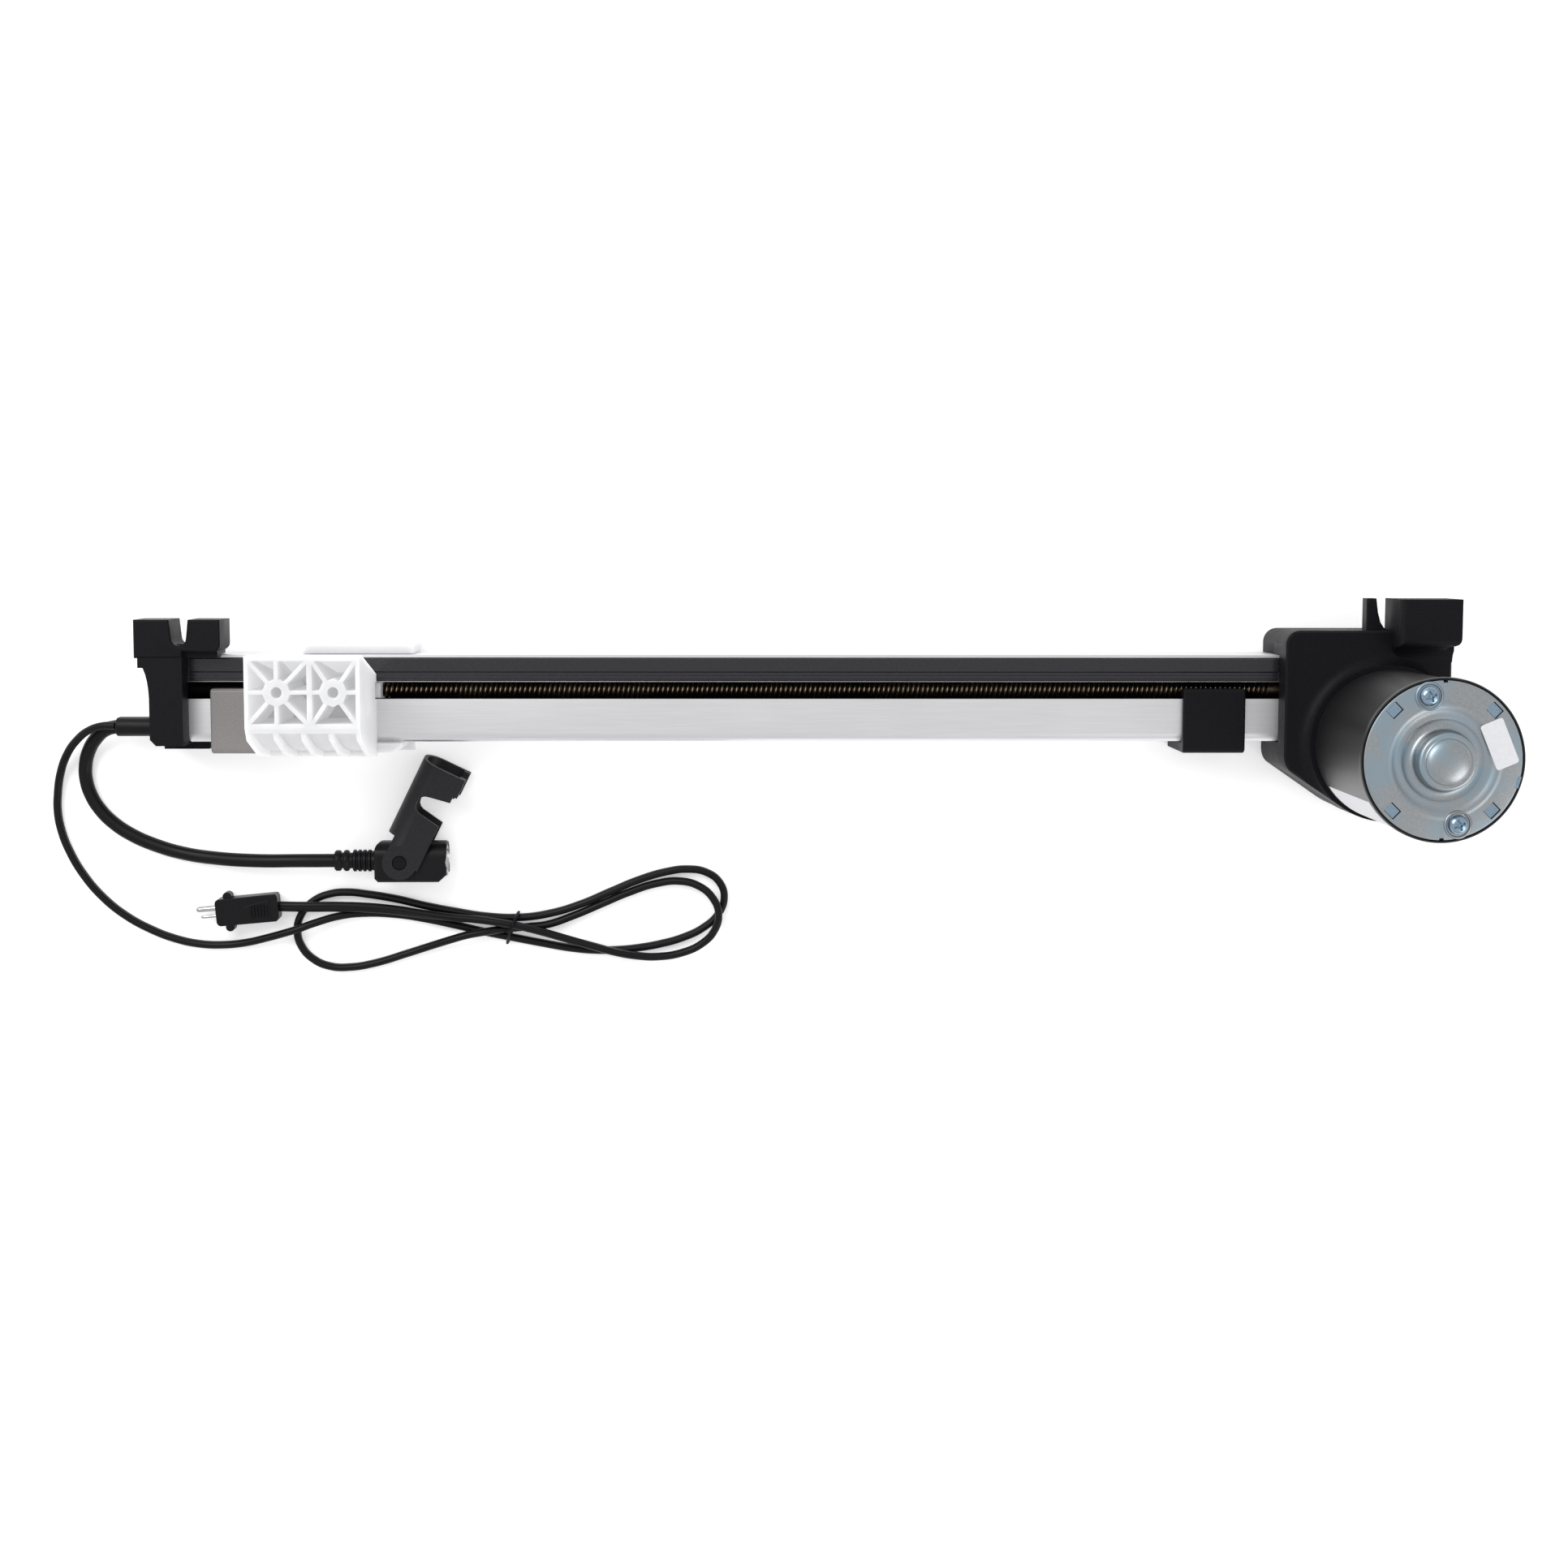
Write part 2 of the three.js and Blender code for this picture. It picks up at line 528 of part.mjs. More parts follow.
function makeMotor() {
  const centre = [MOTOR.x, MOTOR.y, 0];
  const { can, base, rim, end } = MOTOR;
  const canProfile = [
    [9.3, base],
    [can - 1.5, base],
    [can, base + 1.5],
    [can, end - 5],
    [rim, end - 4],
    [rim, end - 0.6],
    [can + 0.2, end - 0.6],
    [can + 0.2, end - 4.2],
    [can - 2.2, end - 4.2],
    [can - 2.2, base + 2],
    [9.3, base + 2],
    [9.3, base],
  ];
  add(drive, "motor_can", turned("z", canProfile, centre, 40), "blackMatte");

  // The end plate is a pressing: a flat rim, two shallow steps down to a raised bearing cup with a dome
  const plateProfile = [
    [0, end + 6.6],
    [0, end + 9.8],
    [4, end + 9.5],
    [7.5, end + 8.3],
    [9.2, end + 6.8],
    [10.6, end + 6.8],
    [11.6, end + 5.6],
    [11.9, end - 0.6],
    [14.4, end - 1.4],
    [18.5, end - 1.2],
    [20.8, end - 0.1],
    [30.6, end],
    [31.8, end - 0.5],
    [31.8, end - 3.8],
    [9.0, end - 3.8],
    [9.0, end + 5],
    [7.5, end + 6.6],
    [0, end + 6.6],
  ];
  const plateSolid = solid(turned("z", plateProfile.reverse(), centre, 40));
  const tools = [];
  for (const degrees of [45, 135, 225, 315]) {
    const window = new THREE.BoxGeometry(4.6, 5.4, 12);
    window.translate(28.2, 0, end - 2);
    window.rotateZ(THREE.MathUtils.degToRad(degrees));
    tools.push(solid(window.translate(MOTOR.x, MOTOR.y, 0)));
  }
  for (const degrees of [90, 344, 270]) {
    const notch = new THREE.BoxGeometry(1.8, 2.4, 12);
    notch.translate(32, 0, end - 2);
    notch.rotateZ(THREE.MathUtils.degToRad(degrees));
    tools.push(solid(notch.translate(MOTOR.x, MOTOR.y, 0)));
  }
  const screws = [104, 284].map((degrees) => {
    const angle = THREE.MathUtils.degToRad(degrees);
    return [MOTOR.x + 26.3 * Math.cos(angle), MOTOR.y + 26.3 * Math.sin(angle)];
  });
  for (const [x, y] of screws) tools.push(prism(circle(x, y, 2.3, 12), "z", end - 10, end + 5));
  add(drive, "motor_end_plate", cut(plateSolid, ...tools), "zinc");
  screws.forEach(([x, y], i) => {
    const profile = [
      [0, end - 19],
      [1.9, end - 19],
      [1.9, end + GAP],
      [4.4, end + GAP],
      [4.4, end + 1.6],
      [3.2, end + 2.7],
      [0, end + 3.1],
    ];
    add(drive, `motor_screw_${i + 1}`, turned("z", profile, [x, y, 0], 16), "zinc");
  });

  const shaft = [
    [0, 8],
    [2.6, 8],
    [2.6, 137.8],
    [0, 137.8],
  ];
  add(drive, "motor_shaft", turned("z", shaft, centre, 16), "steel");
  const worm = [[2.9, 9], [4, 9]];
  for (let z = 11; z < 40; z += 6) worm.push([4, z], [4.9, z + 1.5], [4.9, z + 3], [4, z + 4.5]);
  worm.push([4, 42], [2.9, 42], [2.9, 9]);
  add(drive, "worm", turned("z", worm, centre, 12), "steel");

  const poles = new THREE.Shape();
  const poleCount = 5;
  for (let pole = 0; pole < poleCount; pole++) {
    const middle = (2 * Math.PI * pole) / poleCount;
    const tip = 0.52;
    const neck = Math.atan2(3.5, 17);
    const at = (radius, angle) => [radius * Math.cos(angle), radius * Math.sin(angle)];
    if (pole === 0) poles.moveTo(...at(8, middle - 0.5));
    else poles.lineTo(...at(8, middle - 0.5));
    poles.lineTo(...at(16.5, middle - neck));
    poles.lineTo(...at(16.8, middle - tip));
    poles.absarc(0, 0, 19, middle - tip, middle + tip, false);
    poles.lineTo(...at(16.8, middle + tip));
    poles.lineTo(...at(16.5, middle + neck));
    poles.lineTo(...at(8, middle + 0.5));
  }
  poles.holes.push(circle(0, 0, 2.9, 16));
  const core = prismGeometry(poles, "z", 68, 104).translate(MOTOR.x, MOTOR.y, 0);
  add(drive, "armature_core", core, "iron");
  add(drive, "armature_winding_1", ring("z", 3, 15, 61, 67.6, centre), "copper");
  add(drive, "armature_winding_2", ring("z", 3, 15, 104.4, 111, centre), "copper");
  add(drive, "commutator", ring("z", 2.9, 6.5, 112, 122, centre), "copper");
  for (const [i, start] of [0.35, Math.PI + 0.35].entries()) {
    const arc = new THREE.Shape();
    arc.absarc(0, 0, 29.4, start, start + 2.4, false);
    arc.absarc(0, 0, 20.5, start + 2.4, start, true);
    const magnet = prismGeometry(arc, "z", 62, 110, 0, 10).translate(MOTOR.x, MOTOR.y, 0);
    add(drive, `magnet_${i + 1}`, magnet, "ferrite");
    const side = i === 0 ? [6.9, 14] : [-14, -6.9];
    const brush = boxGeometry(MOTOR.x - 2.5, MOTOR.x + 2.5, MOTOR.y + side[0], MOTOR.y + side[1], 114, 120);
    add(drive, `brush_${i + 1}`, brush, "ferrite");
  }
  add(drive, "motor_bearing_1", ring("z", 2.9, 9, 46, 53, centre), "bearing");
  add(drive, "motor_bearing_2", ring("z", 2.9, 8.7, 129, 135.5, centre), "bearing");
}

// The control lead's round socket, with a locking sleeve that folds down over the mating plug
function makeSocket() {
  const { left, right, y, z, halfWidth, halfHeight } = SOCKET;
  const block = new THREE.Shape();
  block.moveTo(left + 1.5, y - halfWidth);
  block.lineTo(right - 3.5, y - halfWidth);
  block.lineTo(right, y - halfWidth + 3.2);
  block.lineTo(right, y + halfWidth - 1);
  block.lineTo(right - 1, y + halfWidth);
  block.lineTo(left + 4, y + halfWidth);
  block.quadraticCurveTo(left, y + halfWidth, left, y + halfWidth - 4.5);
  block.lineTo(left, y - halfWidth + 1.5);
  const mouth = prism(circle(y, z, 7.2), "x", right - 13, right + 1);
  const pivotBore = prism(circle(LATCH.x, y, 2.4, 12), "z", -1, 22);
  const body = prism(block, "z", z - halfHeight, z + halfHeight, 0.8);
  const corners = [-1, 1].map((side) => {
    const [low, high] = [z + side, z + 10 * side].sort((a, b) => a - b);
    return cut(
      box(left - 1, right + 1, y + 2.2, y + 12, low, high),
      prism(circle(y + 2.2, z + side, 6.6, 40), "x", left - 2, right + 2),
    );
  });
  add(cords, "socket_body", cut(body, mouth, pivotBore, ...corners), "rubber");
  add(cords, "socket_shell", ring("x", 6.2, 6.9, right - 12.5, right - 0.2, [0, y, z]), "bearing");
  const face = circle(y, z, 5.9);
  for (const degrees of [0, 45, 90, 135, 180]) {
    const angle = THREE.MathUtils.degToRad(degrees);
    face.holes.push(circle(y + 3.4 * Math.cos(angle), z - 3.4 * Math.sin(angle), 0.8, 8));
  }
  add(cords, "socket_insert", prismGeometry(face, "x", right - 12.5, right - 4), "blackMatte");
  const relief = [[0, 69.5]];
  for (const [from, to] of [[69.5, 73], [74.5, 78], [79.6, 84]]) {
    relief.push([3.4, from], [4.9, from + 0.6], [4.9, to - 0.6], [3.4, to]);
  }
  relief.push([4.4, 85], [4.4, left - GAP], [0, left - GAP]);
  add(cords, "strain_relief", turned("x", relief, [0, y, z], 14), "rubber");

  const latch = new THREE.Group();
  latch.position.set(LATCH.x, y, z);
  latch.rotation.z = THREE.MathUtils.degToRad(LATCH.degrees);
  cords.add(latch);
  const { length, outer, inner, half, halfInner } = LATCH;
  const channel = join(
    prism(rounded(-8.6, outer, -half, half, 8.4), "x", 0, length + 1.2, 0, 8),
    box(0, length + 1.2, -8.6, 0, -half, half),
    prism(circle(0, 0, 7.6), "z", -half, half),
  );
  const hollow = join(
    prism(rounded(-30, inner, -halfInner, halfInner, 6.8), "x", -12, length + 2, 0, 8),
    box(-20, length + 2, -30, 0, -halfInner, halfInner),
  );
  const heel = box(-20, 9.8, 7.7, 30, -20, 20);
  const heelInside = box(-20, 9.8, -1, 30, -halfInner, halfInner);
  const opening = new THREE.Shape();
  opening.moveTo(21.2, -12);
  opening.lineTo(23.2, -0.4);
  opening.quadraticCurveTo(23.4, 4.4, 27.2, 4.6);
  opening.quadraticCurveTo(31, 4.4, 31.6, 1.4);
  opening.lineTo(34, -12);
  const window = prism(opening, "z", -20, 20);
  const beyond = new THREE.BoxGeometry(20, 60, 60);
  beyond.translate(10, 0, 0);
  beyond.rotateY(-0.125);
  beyond.translate(length, 0, 0);
  const bore = prism(circle(0, 0, 3.2, 16), "z", -20, 20);
  const lips = [-1, 1].map((side) => {
    const edge = side * halfInner;
    const [low, high] = [edge - side * 2.4, side * half].sort((a, b) => a - b);
    return box(36.4, length + 1.2, -10.4, -7.6, low, high);
  });
  const sleeve = join(cut(channel, hollow, heel, heelInside, window, bore), ...lips);
  add(latch, "latch_sleeve", cut(sleeve, solid(beyond)), "blackMatte");
  const pin = [
    [0, z - half],
    [2.9, z - half],
    [2.9, z - halfInner - GAP],
    [2.1, z - halfInner - GAP],
    [2.1, z + halfInner + GAP],
    [2.9, z + halfInner + GAP],
    [2.9, z + half + 0.3],
    [0, z + half + 0.3],
  ];
  add(cords, "latch_pin", turned("z", pin, [LATCH.x, y, 0], 16), "blackMatte");
}

// The leads' routes over the floor. Each starts at the boot on the end cap.
const CONTROL_ROUTE = [
  [-23.6, -17, 10.7],
  [-27.6, -17.4, 10.5],
  [-32.2, -20.8, 7.8],
  [-36.8, -26.6, 4.4],
  [-39.5, -32.3, 3.2],
  [-40.1, -38.5, 3.2],
  [-38.4, -46, 3.2],
  [-34.6, -53.2, 3.2],
  [-28.8, -59.7, 3.2],
  [-20.8, -65.2, 3.2],
  [-10.6, -70, 3.3],
  [2, -73.7, 3.8],
  [17, -75.8, 5.2],
  [34.4, -76.6, 7.4],
  [54, -76.4, 9.4],
  [69.1, -76.3, 9.9],
];
const POWER_ROUTE = [
  [-23.4, -16.3, 16.9],
  [-28.4, -16.3, 16.2],
  [-34, -17.9, 13],
  [-39.8, -21.8, 8],
  [-45.6, -28.1, 3.6],
  [-50.2, -36.9, 2.4],
  [-52.4, -46.2, 2.4],
  [-52.8, -53.6, 2.4],
  [-51.6, -61.9, 2.4],
  [-48.3, -72.1, 2.4],
  [-42.5, -83, 2.4],
  [-34.6, -92.8, 2.4],
  [-24.6, -101.3, 2.4],
  [-12.8, -108, 2.4],
  [-2.2, -112.1, 2.4],
  [7.7, -114.3, 2.4],
  [18.1, -114.8, 2.6],
  [28.5, -113.7, 3.6],
  [38.6, -111.2, 5.2],
  [46.2, -109, 6.4],
];
const PLUG = { x: 43.9, y: -97.3, z: 4.6, degrees: 185.3 };
const BUNDLE_HEIGHT = 11.2;
const TIE = { left: 146, right: 147.6, low: -116.2, high: -98.6 };

// The gathered turns of the power lead, as one flat solid with two round lobes and a waist
function bundleOutline() {
  const shape = new THREE.Shape();
  shape.moveTo(69, -88.4);
  shape.absarc(69, -108, 19.6, Math.PI / 2, 1.5 * Math.PI, false);
  shape.bezierCurveTo(100, -127.6, 120, -116.6, 160, -118);
  shape.bezierCurveTo(185, -121.8, 200, -123.4, 222, -122.6);
  shape.absarc(221, -100.7, 22, -Math.PI / 2, Math.PI / 2, false);
  shape.bezierCurveTo(195, -78.7, 185, -94, 160, -95);
  shape.bezierCurveTo(130, -95.4, 95, -88.4, 69, -88.4);
  return shape;
}

function makeLeads() {
  add(cords, "control_lead", cordGeometry(CONTROL_ROUTE, CONTROL_LEAD, 8, 22), "rubber");
  add(cords, "power_lead", cordGeometry(POWER_ROUTE, POWER_LEAD, 8, 30), "rubber");
  const floor = FLOOR_CLEARANCE;
  const tieThickness = 1.1;
  const bundle = cut(
    prism(bundleOutline(), "z", floor, BUNDLE_HEIGHT, 0, 8),
    ...[
      [-140, -60, -1, floor + tieThickness + GAP],
      [-140, -60, BUNDLE_HEIGHT - tieThickness - GAP, 20],
      [TIE.high - tieThickness - GAP, -60, -1, 20],
      [-140, TIE.low + tieThickness + GAP, -1, 20],
    ].map((limits) => box(TIE.left - GAP, TIE.right + GAP, ...limits)),
  );
  add(cords, "power_lead_bundle", bundle, "rubber");
  const tie = cut(
    box(TIE.left, TIE.right, TIE.low, TIE.high, floor, BUNDLE_HEIGHT),
    box(
      TIE.left - 1,
      TIE.right + 1,
      TIE.low + tieThickness,
      TIE.high - tieThickness,
      floor + tieThickness,
      BUNDLE_HEIGHT - tieThickness,
    ),
  );
  add(cords, "lead_tie", tie, "blackMatte");

  const plug = new THREE.Group();
  plug.position.set(PLUG.x, PLUG.y, PLUG.z);
  plug.rotation.z = THREE.MathUtils.degToRad(PLUG.degrees);
  cords.add(plug);
  const tail = [
    [-3.6, 0, 0],
    [-0.3, 0, 0],
  ];
  add(plug, "power_lead_tail", cordGeometry(tail, POWER_LEAD, 8, 2), "rubber");
  const outline = new THREE.Shape();
  outline.moveTo(0, -4.4);
  outline.lineTo(1.4, -6.1);
  outline.lineTo(27.6, -6.1);
  outline.lineTo(27.6, 6.1);
  outline.lineTo(1.4, 6.1);
  outline.lineTo(0, 4.4);
  const contacts = [
    { y: -1.85, radius: 1.3, end: 36.6 },
    { y: 1.6, radius: 0.75, end: 35 },
  ];
  const sockets = contacts.map(({ y, radius }) => prism(circle(y, 0, radius + 0.3, 12), "x", 19, 29));
  const nubs = box(20, 24, -8.7, 8.7, -2, 2);
  const body = join(prism(outline, "z", -4.3, 4.3, 1), nubs);
  add(plug, "plug_body", cut(body, ...sockets), "rubber");
  contacts.forEach(({ y, radius, end }, i) => {
    const pin = [
      [0, 19.3],
      [radius, 19.3],
      [radius, end - 1],
      [radius * 0.6, end],
      [0, end],
    ];
    add(plug, `plug_pin_${i + 1}`, turned("x", pin, [0, y, 0], 10), "bearing");
  });
}

makeRail();
makeWireCover();
makeScrew();
makeWormWheel();
makeEndCap();
makeCarriage();
makeStop("stop_left", 21.5, 44.9, 2.4, "greyPlastic");
makeStop("stop_right", 438.2, 465.2, 3, "blackMatte");
makeGearbox();
makeMotor();
makeSocket();
makeLeads();

// The origin is under the middle of the drive itself, without its leads
const footprint = new THREE.Box3().setFromObject(drive, true);
const middle = footprint.getCenter(new THREE.Vector3());
assembly.position.set(-middle.x, -middle.y, -footprint.min.z);

export default assembly;
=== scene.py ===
import json
import math

import bmesh
import bpy
from mathutils import Euler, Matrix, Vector

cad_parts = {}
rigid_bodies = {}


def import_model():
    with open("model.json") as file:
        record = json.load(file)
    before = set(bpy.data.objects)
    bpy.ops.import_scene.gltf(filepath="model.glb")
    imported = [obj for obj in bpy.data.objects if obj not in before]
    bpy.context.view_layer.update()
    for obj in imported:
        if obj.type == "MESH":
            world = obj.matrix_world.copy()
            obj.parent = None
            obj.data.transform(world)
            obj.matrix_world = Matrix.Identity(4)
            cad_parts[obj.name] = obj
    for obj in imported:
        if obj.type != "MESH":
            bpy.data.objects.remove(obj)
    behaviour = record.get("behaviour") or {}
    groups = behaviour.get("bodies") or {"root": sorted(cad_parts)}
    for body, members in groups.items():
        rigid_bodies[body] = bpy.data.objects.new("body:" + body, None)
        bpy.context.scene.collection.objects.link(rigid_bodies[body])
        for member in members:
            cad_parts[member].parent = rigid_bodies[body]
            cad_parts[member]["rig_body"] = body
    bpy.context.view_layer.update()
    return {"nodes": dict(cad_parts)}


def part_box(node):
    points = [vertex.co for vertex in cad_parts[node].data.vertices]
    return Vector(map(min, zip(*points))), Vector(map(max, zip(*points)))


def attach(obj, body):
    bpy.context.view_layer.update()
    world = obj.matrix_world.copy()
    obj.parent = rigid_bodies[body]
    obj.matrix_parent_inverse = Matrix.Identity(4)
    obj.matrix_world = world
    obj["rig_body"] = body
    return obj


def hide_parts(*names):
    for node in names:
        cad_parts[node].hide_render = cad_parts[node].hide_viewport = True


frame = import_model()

MM = 0.001
SCENE = bpy.context.scene

# Places below are in millimetres: X from the rail's left end, Y from the lead screw's axis, Z from the floor.
RAIL_LEFT, RAIL_BOTTOM = 0.6, -22.1
rail_low, rail_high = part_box("rail")
ORIGIN = Vector((rail_low.x - RAIL_LEFT * MM, rail_low.y - RAIL_BOTTOM * MM, 0))


def at(x, y, z):
    return ORIGIN + Vector((x, y, z)) * MM


# ---------------------------------------------------------------- camera

camera_data = bpy.data.cameras.new("camera")
camera_data.sensor_width = 36
camera_data.lens = 57.76
camera_data.clip_start, camera_data.clip_end = 0.05, 20
camera = bpy.data.objects.new("camera", camera_data)
camera.location = at(232, 64.5, 1114)
camera.rotation_euler = Euler([math.radians(a) for a in (-5.546, -1.802, 0.113)])
SCENE.collection.objects.link(camera)
SCENE.camera = camera
SCENE.view_settings.view_transform = "Standard"

# ---------------------------------------------------------------- finishes


def finish(name, colour, roughness, metallic=0.0, grain=1500.0, tint=0.15, bump=0.15, depth=0.02,
           stretch=(1, 1, 1),
           patch=40.0, spread=0.08, subsurface=0.0, specular=0.5, second=None, painted_glow=0.0):
    """A shader whose colour, roughness and relief vary with a fine grain and with broader patches.
    second is the colour that the patches lean to; painted_glow is emission, painted light that lifts the
    shade in the part's hollows in place of light coming through its thin walls."""
    made = bpy.data.materials.new(name)
    made.use_nodes = True
    nodes, links = made.node_tree.nodes, made.node_tree.links
    shader = nodes["Principled BSDF"]
    shader.inputs["Metallic"].default_value = metallic
    shader.inputs["Specular IOR Level"].default_value = specular
    # Emission: painted light, so the part glows though it is no lamp
    if painted_glow:
        shader.inputs["Emission Color"].default_value = (1, 1, 1, 1)
        shader.inputs["Emission Strength"].default_value = painted_glow
    if subsurface:
        shader.inputs["Subsurface Weight"].default_value = subsurface
        shader.inputs["Subsurface Radius"].default_value = (0.012, 0.012, 0.012)
        shader.inputs["Subsurface Scale"].default_value = 1.0
    place = nodes.new("ShaderNodeTexCoord")
    scale = nodes.new("ShaderNodeMapping")
    scale.inputs["Scale"].default_value = stretch
    links.new(place.outputs["Object"], scale.inputs["Vector"])
    fine = nodes.new("ShaderNodeTexNoise")
    fine.inputs["Scale"].default_value = grain
    fine.inputs["Detail"].default_value = 3
    links.new(scale.outputs["Vector"], fine.inputs["Vector"])
    broad = nodes.new("ShaderNodeTexNoise")
    broad.inputs["Scale"].default_value = patch
    broad.inputs["Detail"].default_value = 4
    links.new(place.outputs["Object"], broad.inputs["Vector"])
    ramp = nodes.new("ShaderNodeValToRGB")
    for stop, share in zip(ramp.color_ramp.elements, (1 - tint, 1 + tint)):
        stop.color = [min(1, c * share) for c in colour] + [1]
    ramp.color_ramp.elements[0].position, ramp.color_ramp.elements[1].position = 0.3, 0.7
    links.new(fine.outputs["Fac"], ramp.inputs["Fac"])
    if second:
        lean = nodes.new("ShaderNodeMapRange")
        lean.inputs["From Min"].default_value, lean.inputs["From Max"].default_value = 0.4, 0.62
        links.new(broad.outputs["Fac"], lean.inputs["Value"])
        mix = nodes.new("ShaderNodeMix")
        mix.data_type = "RGBA"
        mix.inputs["B"].default_value = (*second, 1)
        links.new(lean.outputs["Result"], mix.inputs["Factor"])
        links.new(ramp.outputs["Color"], mix.inputs["A"])
        links.new(mix.outputs["Result"], shader.inputs["Base Color"])
    else:
        links.new(ramp.outputs["Color"], shader.inputs["Base Color"])
    rough = nodes.new("ShaderNodeMapRange")
    rough.inputs["From Min"].default_value, rough.inputs["From Max"].default_value = 0.3, 0.7
    rough.inputs["To Min"].default_value = max(0.02, roughness - spread)
    rough.inputs["To Max"].default_value = roughness + spread
    links.new(broad.outputs["Fac"], rough.inputs["Value"])
    links.new(rough.outputs["Result"], shader.inputs["Roughness"])
    relief = nodes.new("ShaderNodeBump")
    relief.inputs["Strength"].default_value = bump
    relief.inputs["Distance"].default_value = depth * MM
    links.new(fine.outputs["Fac"], relief.inputs["Height"])
    links.new(relief.outputs["Normal"], shader.inputs["Normal"])
    return made


FINISHES = {
    "aluminium": finish("aluminium", (0.70, 0.70, 0.715), 0.4, 1, 2500, 0.04, 0.25, 0.02, (0.02, 1, 1), 12,
                        0.04),
    "black_gloss": finish("black_gloss", (0.012, 0.011, 0.0155), 0.2, 0, 900, 0.2, 0.05, 0.01, spread=0.03,
                          specular=0.5),
    "black_housing": finish("black_housing", (0.0052, 0.0052, 0.0068), 0.48, 0, 2400, 0.5, 0.5, 0.05,
                            specular=0.11),
    "black_rubber": finish("black_rubber", (0.004, 0.004, 0.005), 0.4, 0, 1500, 0.3, 0.2, 0.03,
                           specular=0.17),
    "black_can": finish("black_can", (0.006, 0.006, 0.007), 0.36, 0, 2600, 0.15, 0.06, 0.01, patch=6,
                        spread=0.01, specular=0.5),
    "screw_steel": finish("screw_steel", (0.46, 0.39, 0.29), 0.26, 1, 1800, 0.3, 0.3, 0.02),
    "bearing_steel": finish("bearing_steel", (0.5, 0.5, 0.51), 0.24, 1, bump=0.05),
    "gear_brass": finish("gear_brass", (0.66, 0.5, 0.22), 0.3, 1),
    # The carriage's nylon glows by emission: painted light that lifts the shade in its pockets
    "white_nylon": finish("white_nylon", (0.5, 0.5, 0.51), 0.5, 0, 900, 0.02, 0.15, 0.02, subsurface=1.0,
                          specular=0.25, painted_glow=0.2),
    # The drive nut also glows by emission: painted light
    "nut_plastic": finish("nut_plastic", (0.46, 0.48, 0.5), 0.45, 0, 900, 0.03, 0.15, 0.02, subsurface=1.0,
                          specular=0.3, painted_glow=0.14),
    "grey_plastic": finish("grey_plastic", (0.205, 0.192, 0.19), 0.42, 0, 1500, 0.1, 0.3, 0.03),
    "zinc_plate": finish("zinc_plate", (0.34, 0.355, 0.365), 0.38, 1, 1500, 0.1, 0.3, 0.03, patch=70,
                         spread=0.04,
                         second=(0.285, 0.355, 0.405)),
    "iron": finish("iron", (0.2, 0.2, 0.21), 0.5, 1),
    "copper": finish("copper", (0.5, 0.22, 0.1), 0.35, 1),
    "ferrite": finish("ferrite", (0.06, 0.06, 0.065), 0.7),
}
# A near-black finish put where there is only shade: painted shade inside the screw slot and in the thread's
# grooves
SLOT_PAINTED_SHADE = finish("slot_painted_shade", (0.004, 0.004, 0.004), 0.6, 0, 1500, 0.3, 0.2, 0.02, specular=0.15)
BLUE_ZINC = finish("blue_zinc", (0.27, 0.37, 0.46), 0.22, 1, 1500, 0.15, 0.3, 0.02, patch=200)
# A lighter copy of the black housing finish for the latch sleeve: painted light, standing in for the light
# its faces catch
ARM_PAINTED_LIGHT = finish("arm", (0.011, 0.011, 0.013), 0.46, 0, 2400, 0.4, 0.4, 0.04, specular=0.25)
PAPER = finish("paper", (0.66, 0.66, 0.69), 0.6, 0, 700, 0.03, 0.1, 0.01)
NODES = {
    "aluminium": ["rail"],
    "black_gloss": ["wire_channel_cover"],
    "black_housing": ["end_cap", "gearbox_back_cover", "gearbox_front_cover", "stop_right", "latch_sleeve",
                      "latch_pin",
                      "socket_insert", "lead_tie"],
    "black_rubber": ["cable_boot", "socket_body", "strain_relief", "plug_body", "control_lead", "power_lead",
                     "power_lead_bundle", "power_lead_tail"],
    "black_can": ["motor_can"],
    "screw_steel": ["lead_screw", "motor_shaft", "worm"],
    "bearing_steel": ["screw_end_bearing", "screw_drive_bearing_1", "screw_drive_bearing_2",
                      "motor_bearing_1",
                      "motor_bearing_2", "socket_shell", "plug_pin_1", "plug_pin_2"],
    "gear_brass": ["worm_wheel"],
    "white_nylon": ["carriage"],
    "nut_plastic": ["drive_nut"],
    "grey_plastic": ["stop_left"],
    "zinc_plate": ["motor_end_plate", "motor_screw_1", "motor_screw_2", "gearbox_screw_1", "gearbox_screw_2",
                   "gearbox_screw_3", "gearbox_screw_4", "gearbox_screw_5"],
    "iron": ["armature_core"],
    "copper": ["armature_winding_1", "armature_winding_2", "commutator"],
    "ferrite": ["magnet_1", "magnet_2", "brush_1", "brush_2"],
}
SLOT_OF = {node: slot for slot, nodes in NODES.items() for node in nodes}
BODY_OF = {node: o["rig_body"] for node, o in frame["nodes"].items()}
for node, slot in SLOT_OF.items():
    data = frame["nodes"][node].data
    data.materials.clear()
    data.materials.append(FINISHES[slot])

# ---------------------------------------------------------------- making pieces


def piece(name, data, slot, body="frame", stands_for=()):
    """A new piece with its finish, riding on a body."""
    made = bpy.data.objects.new(name, data)
    SCENE.collection.objects.link(made)
    data.materials.clear()
    data.materials.append(FINISHES[slot])
    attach(made, body)
    if stands_for:
        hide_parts(*stands_for)
    return made


def smooth(made, angle=35):
    """Smooth faces with crisp edges past an angle."""
    made.data.shade_smooth()
    made.data.set_sharp_from_angle(angle=math.radians(angle))


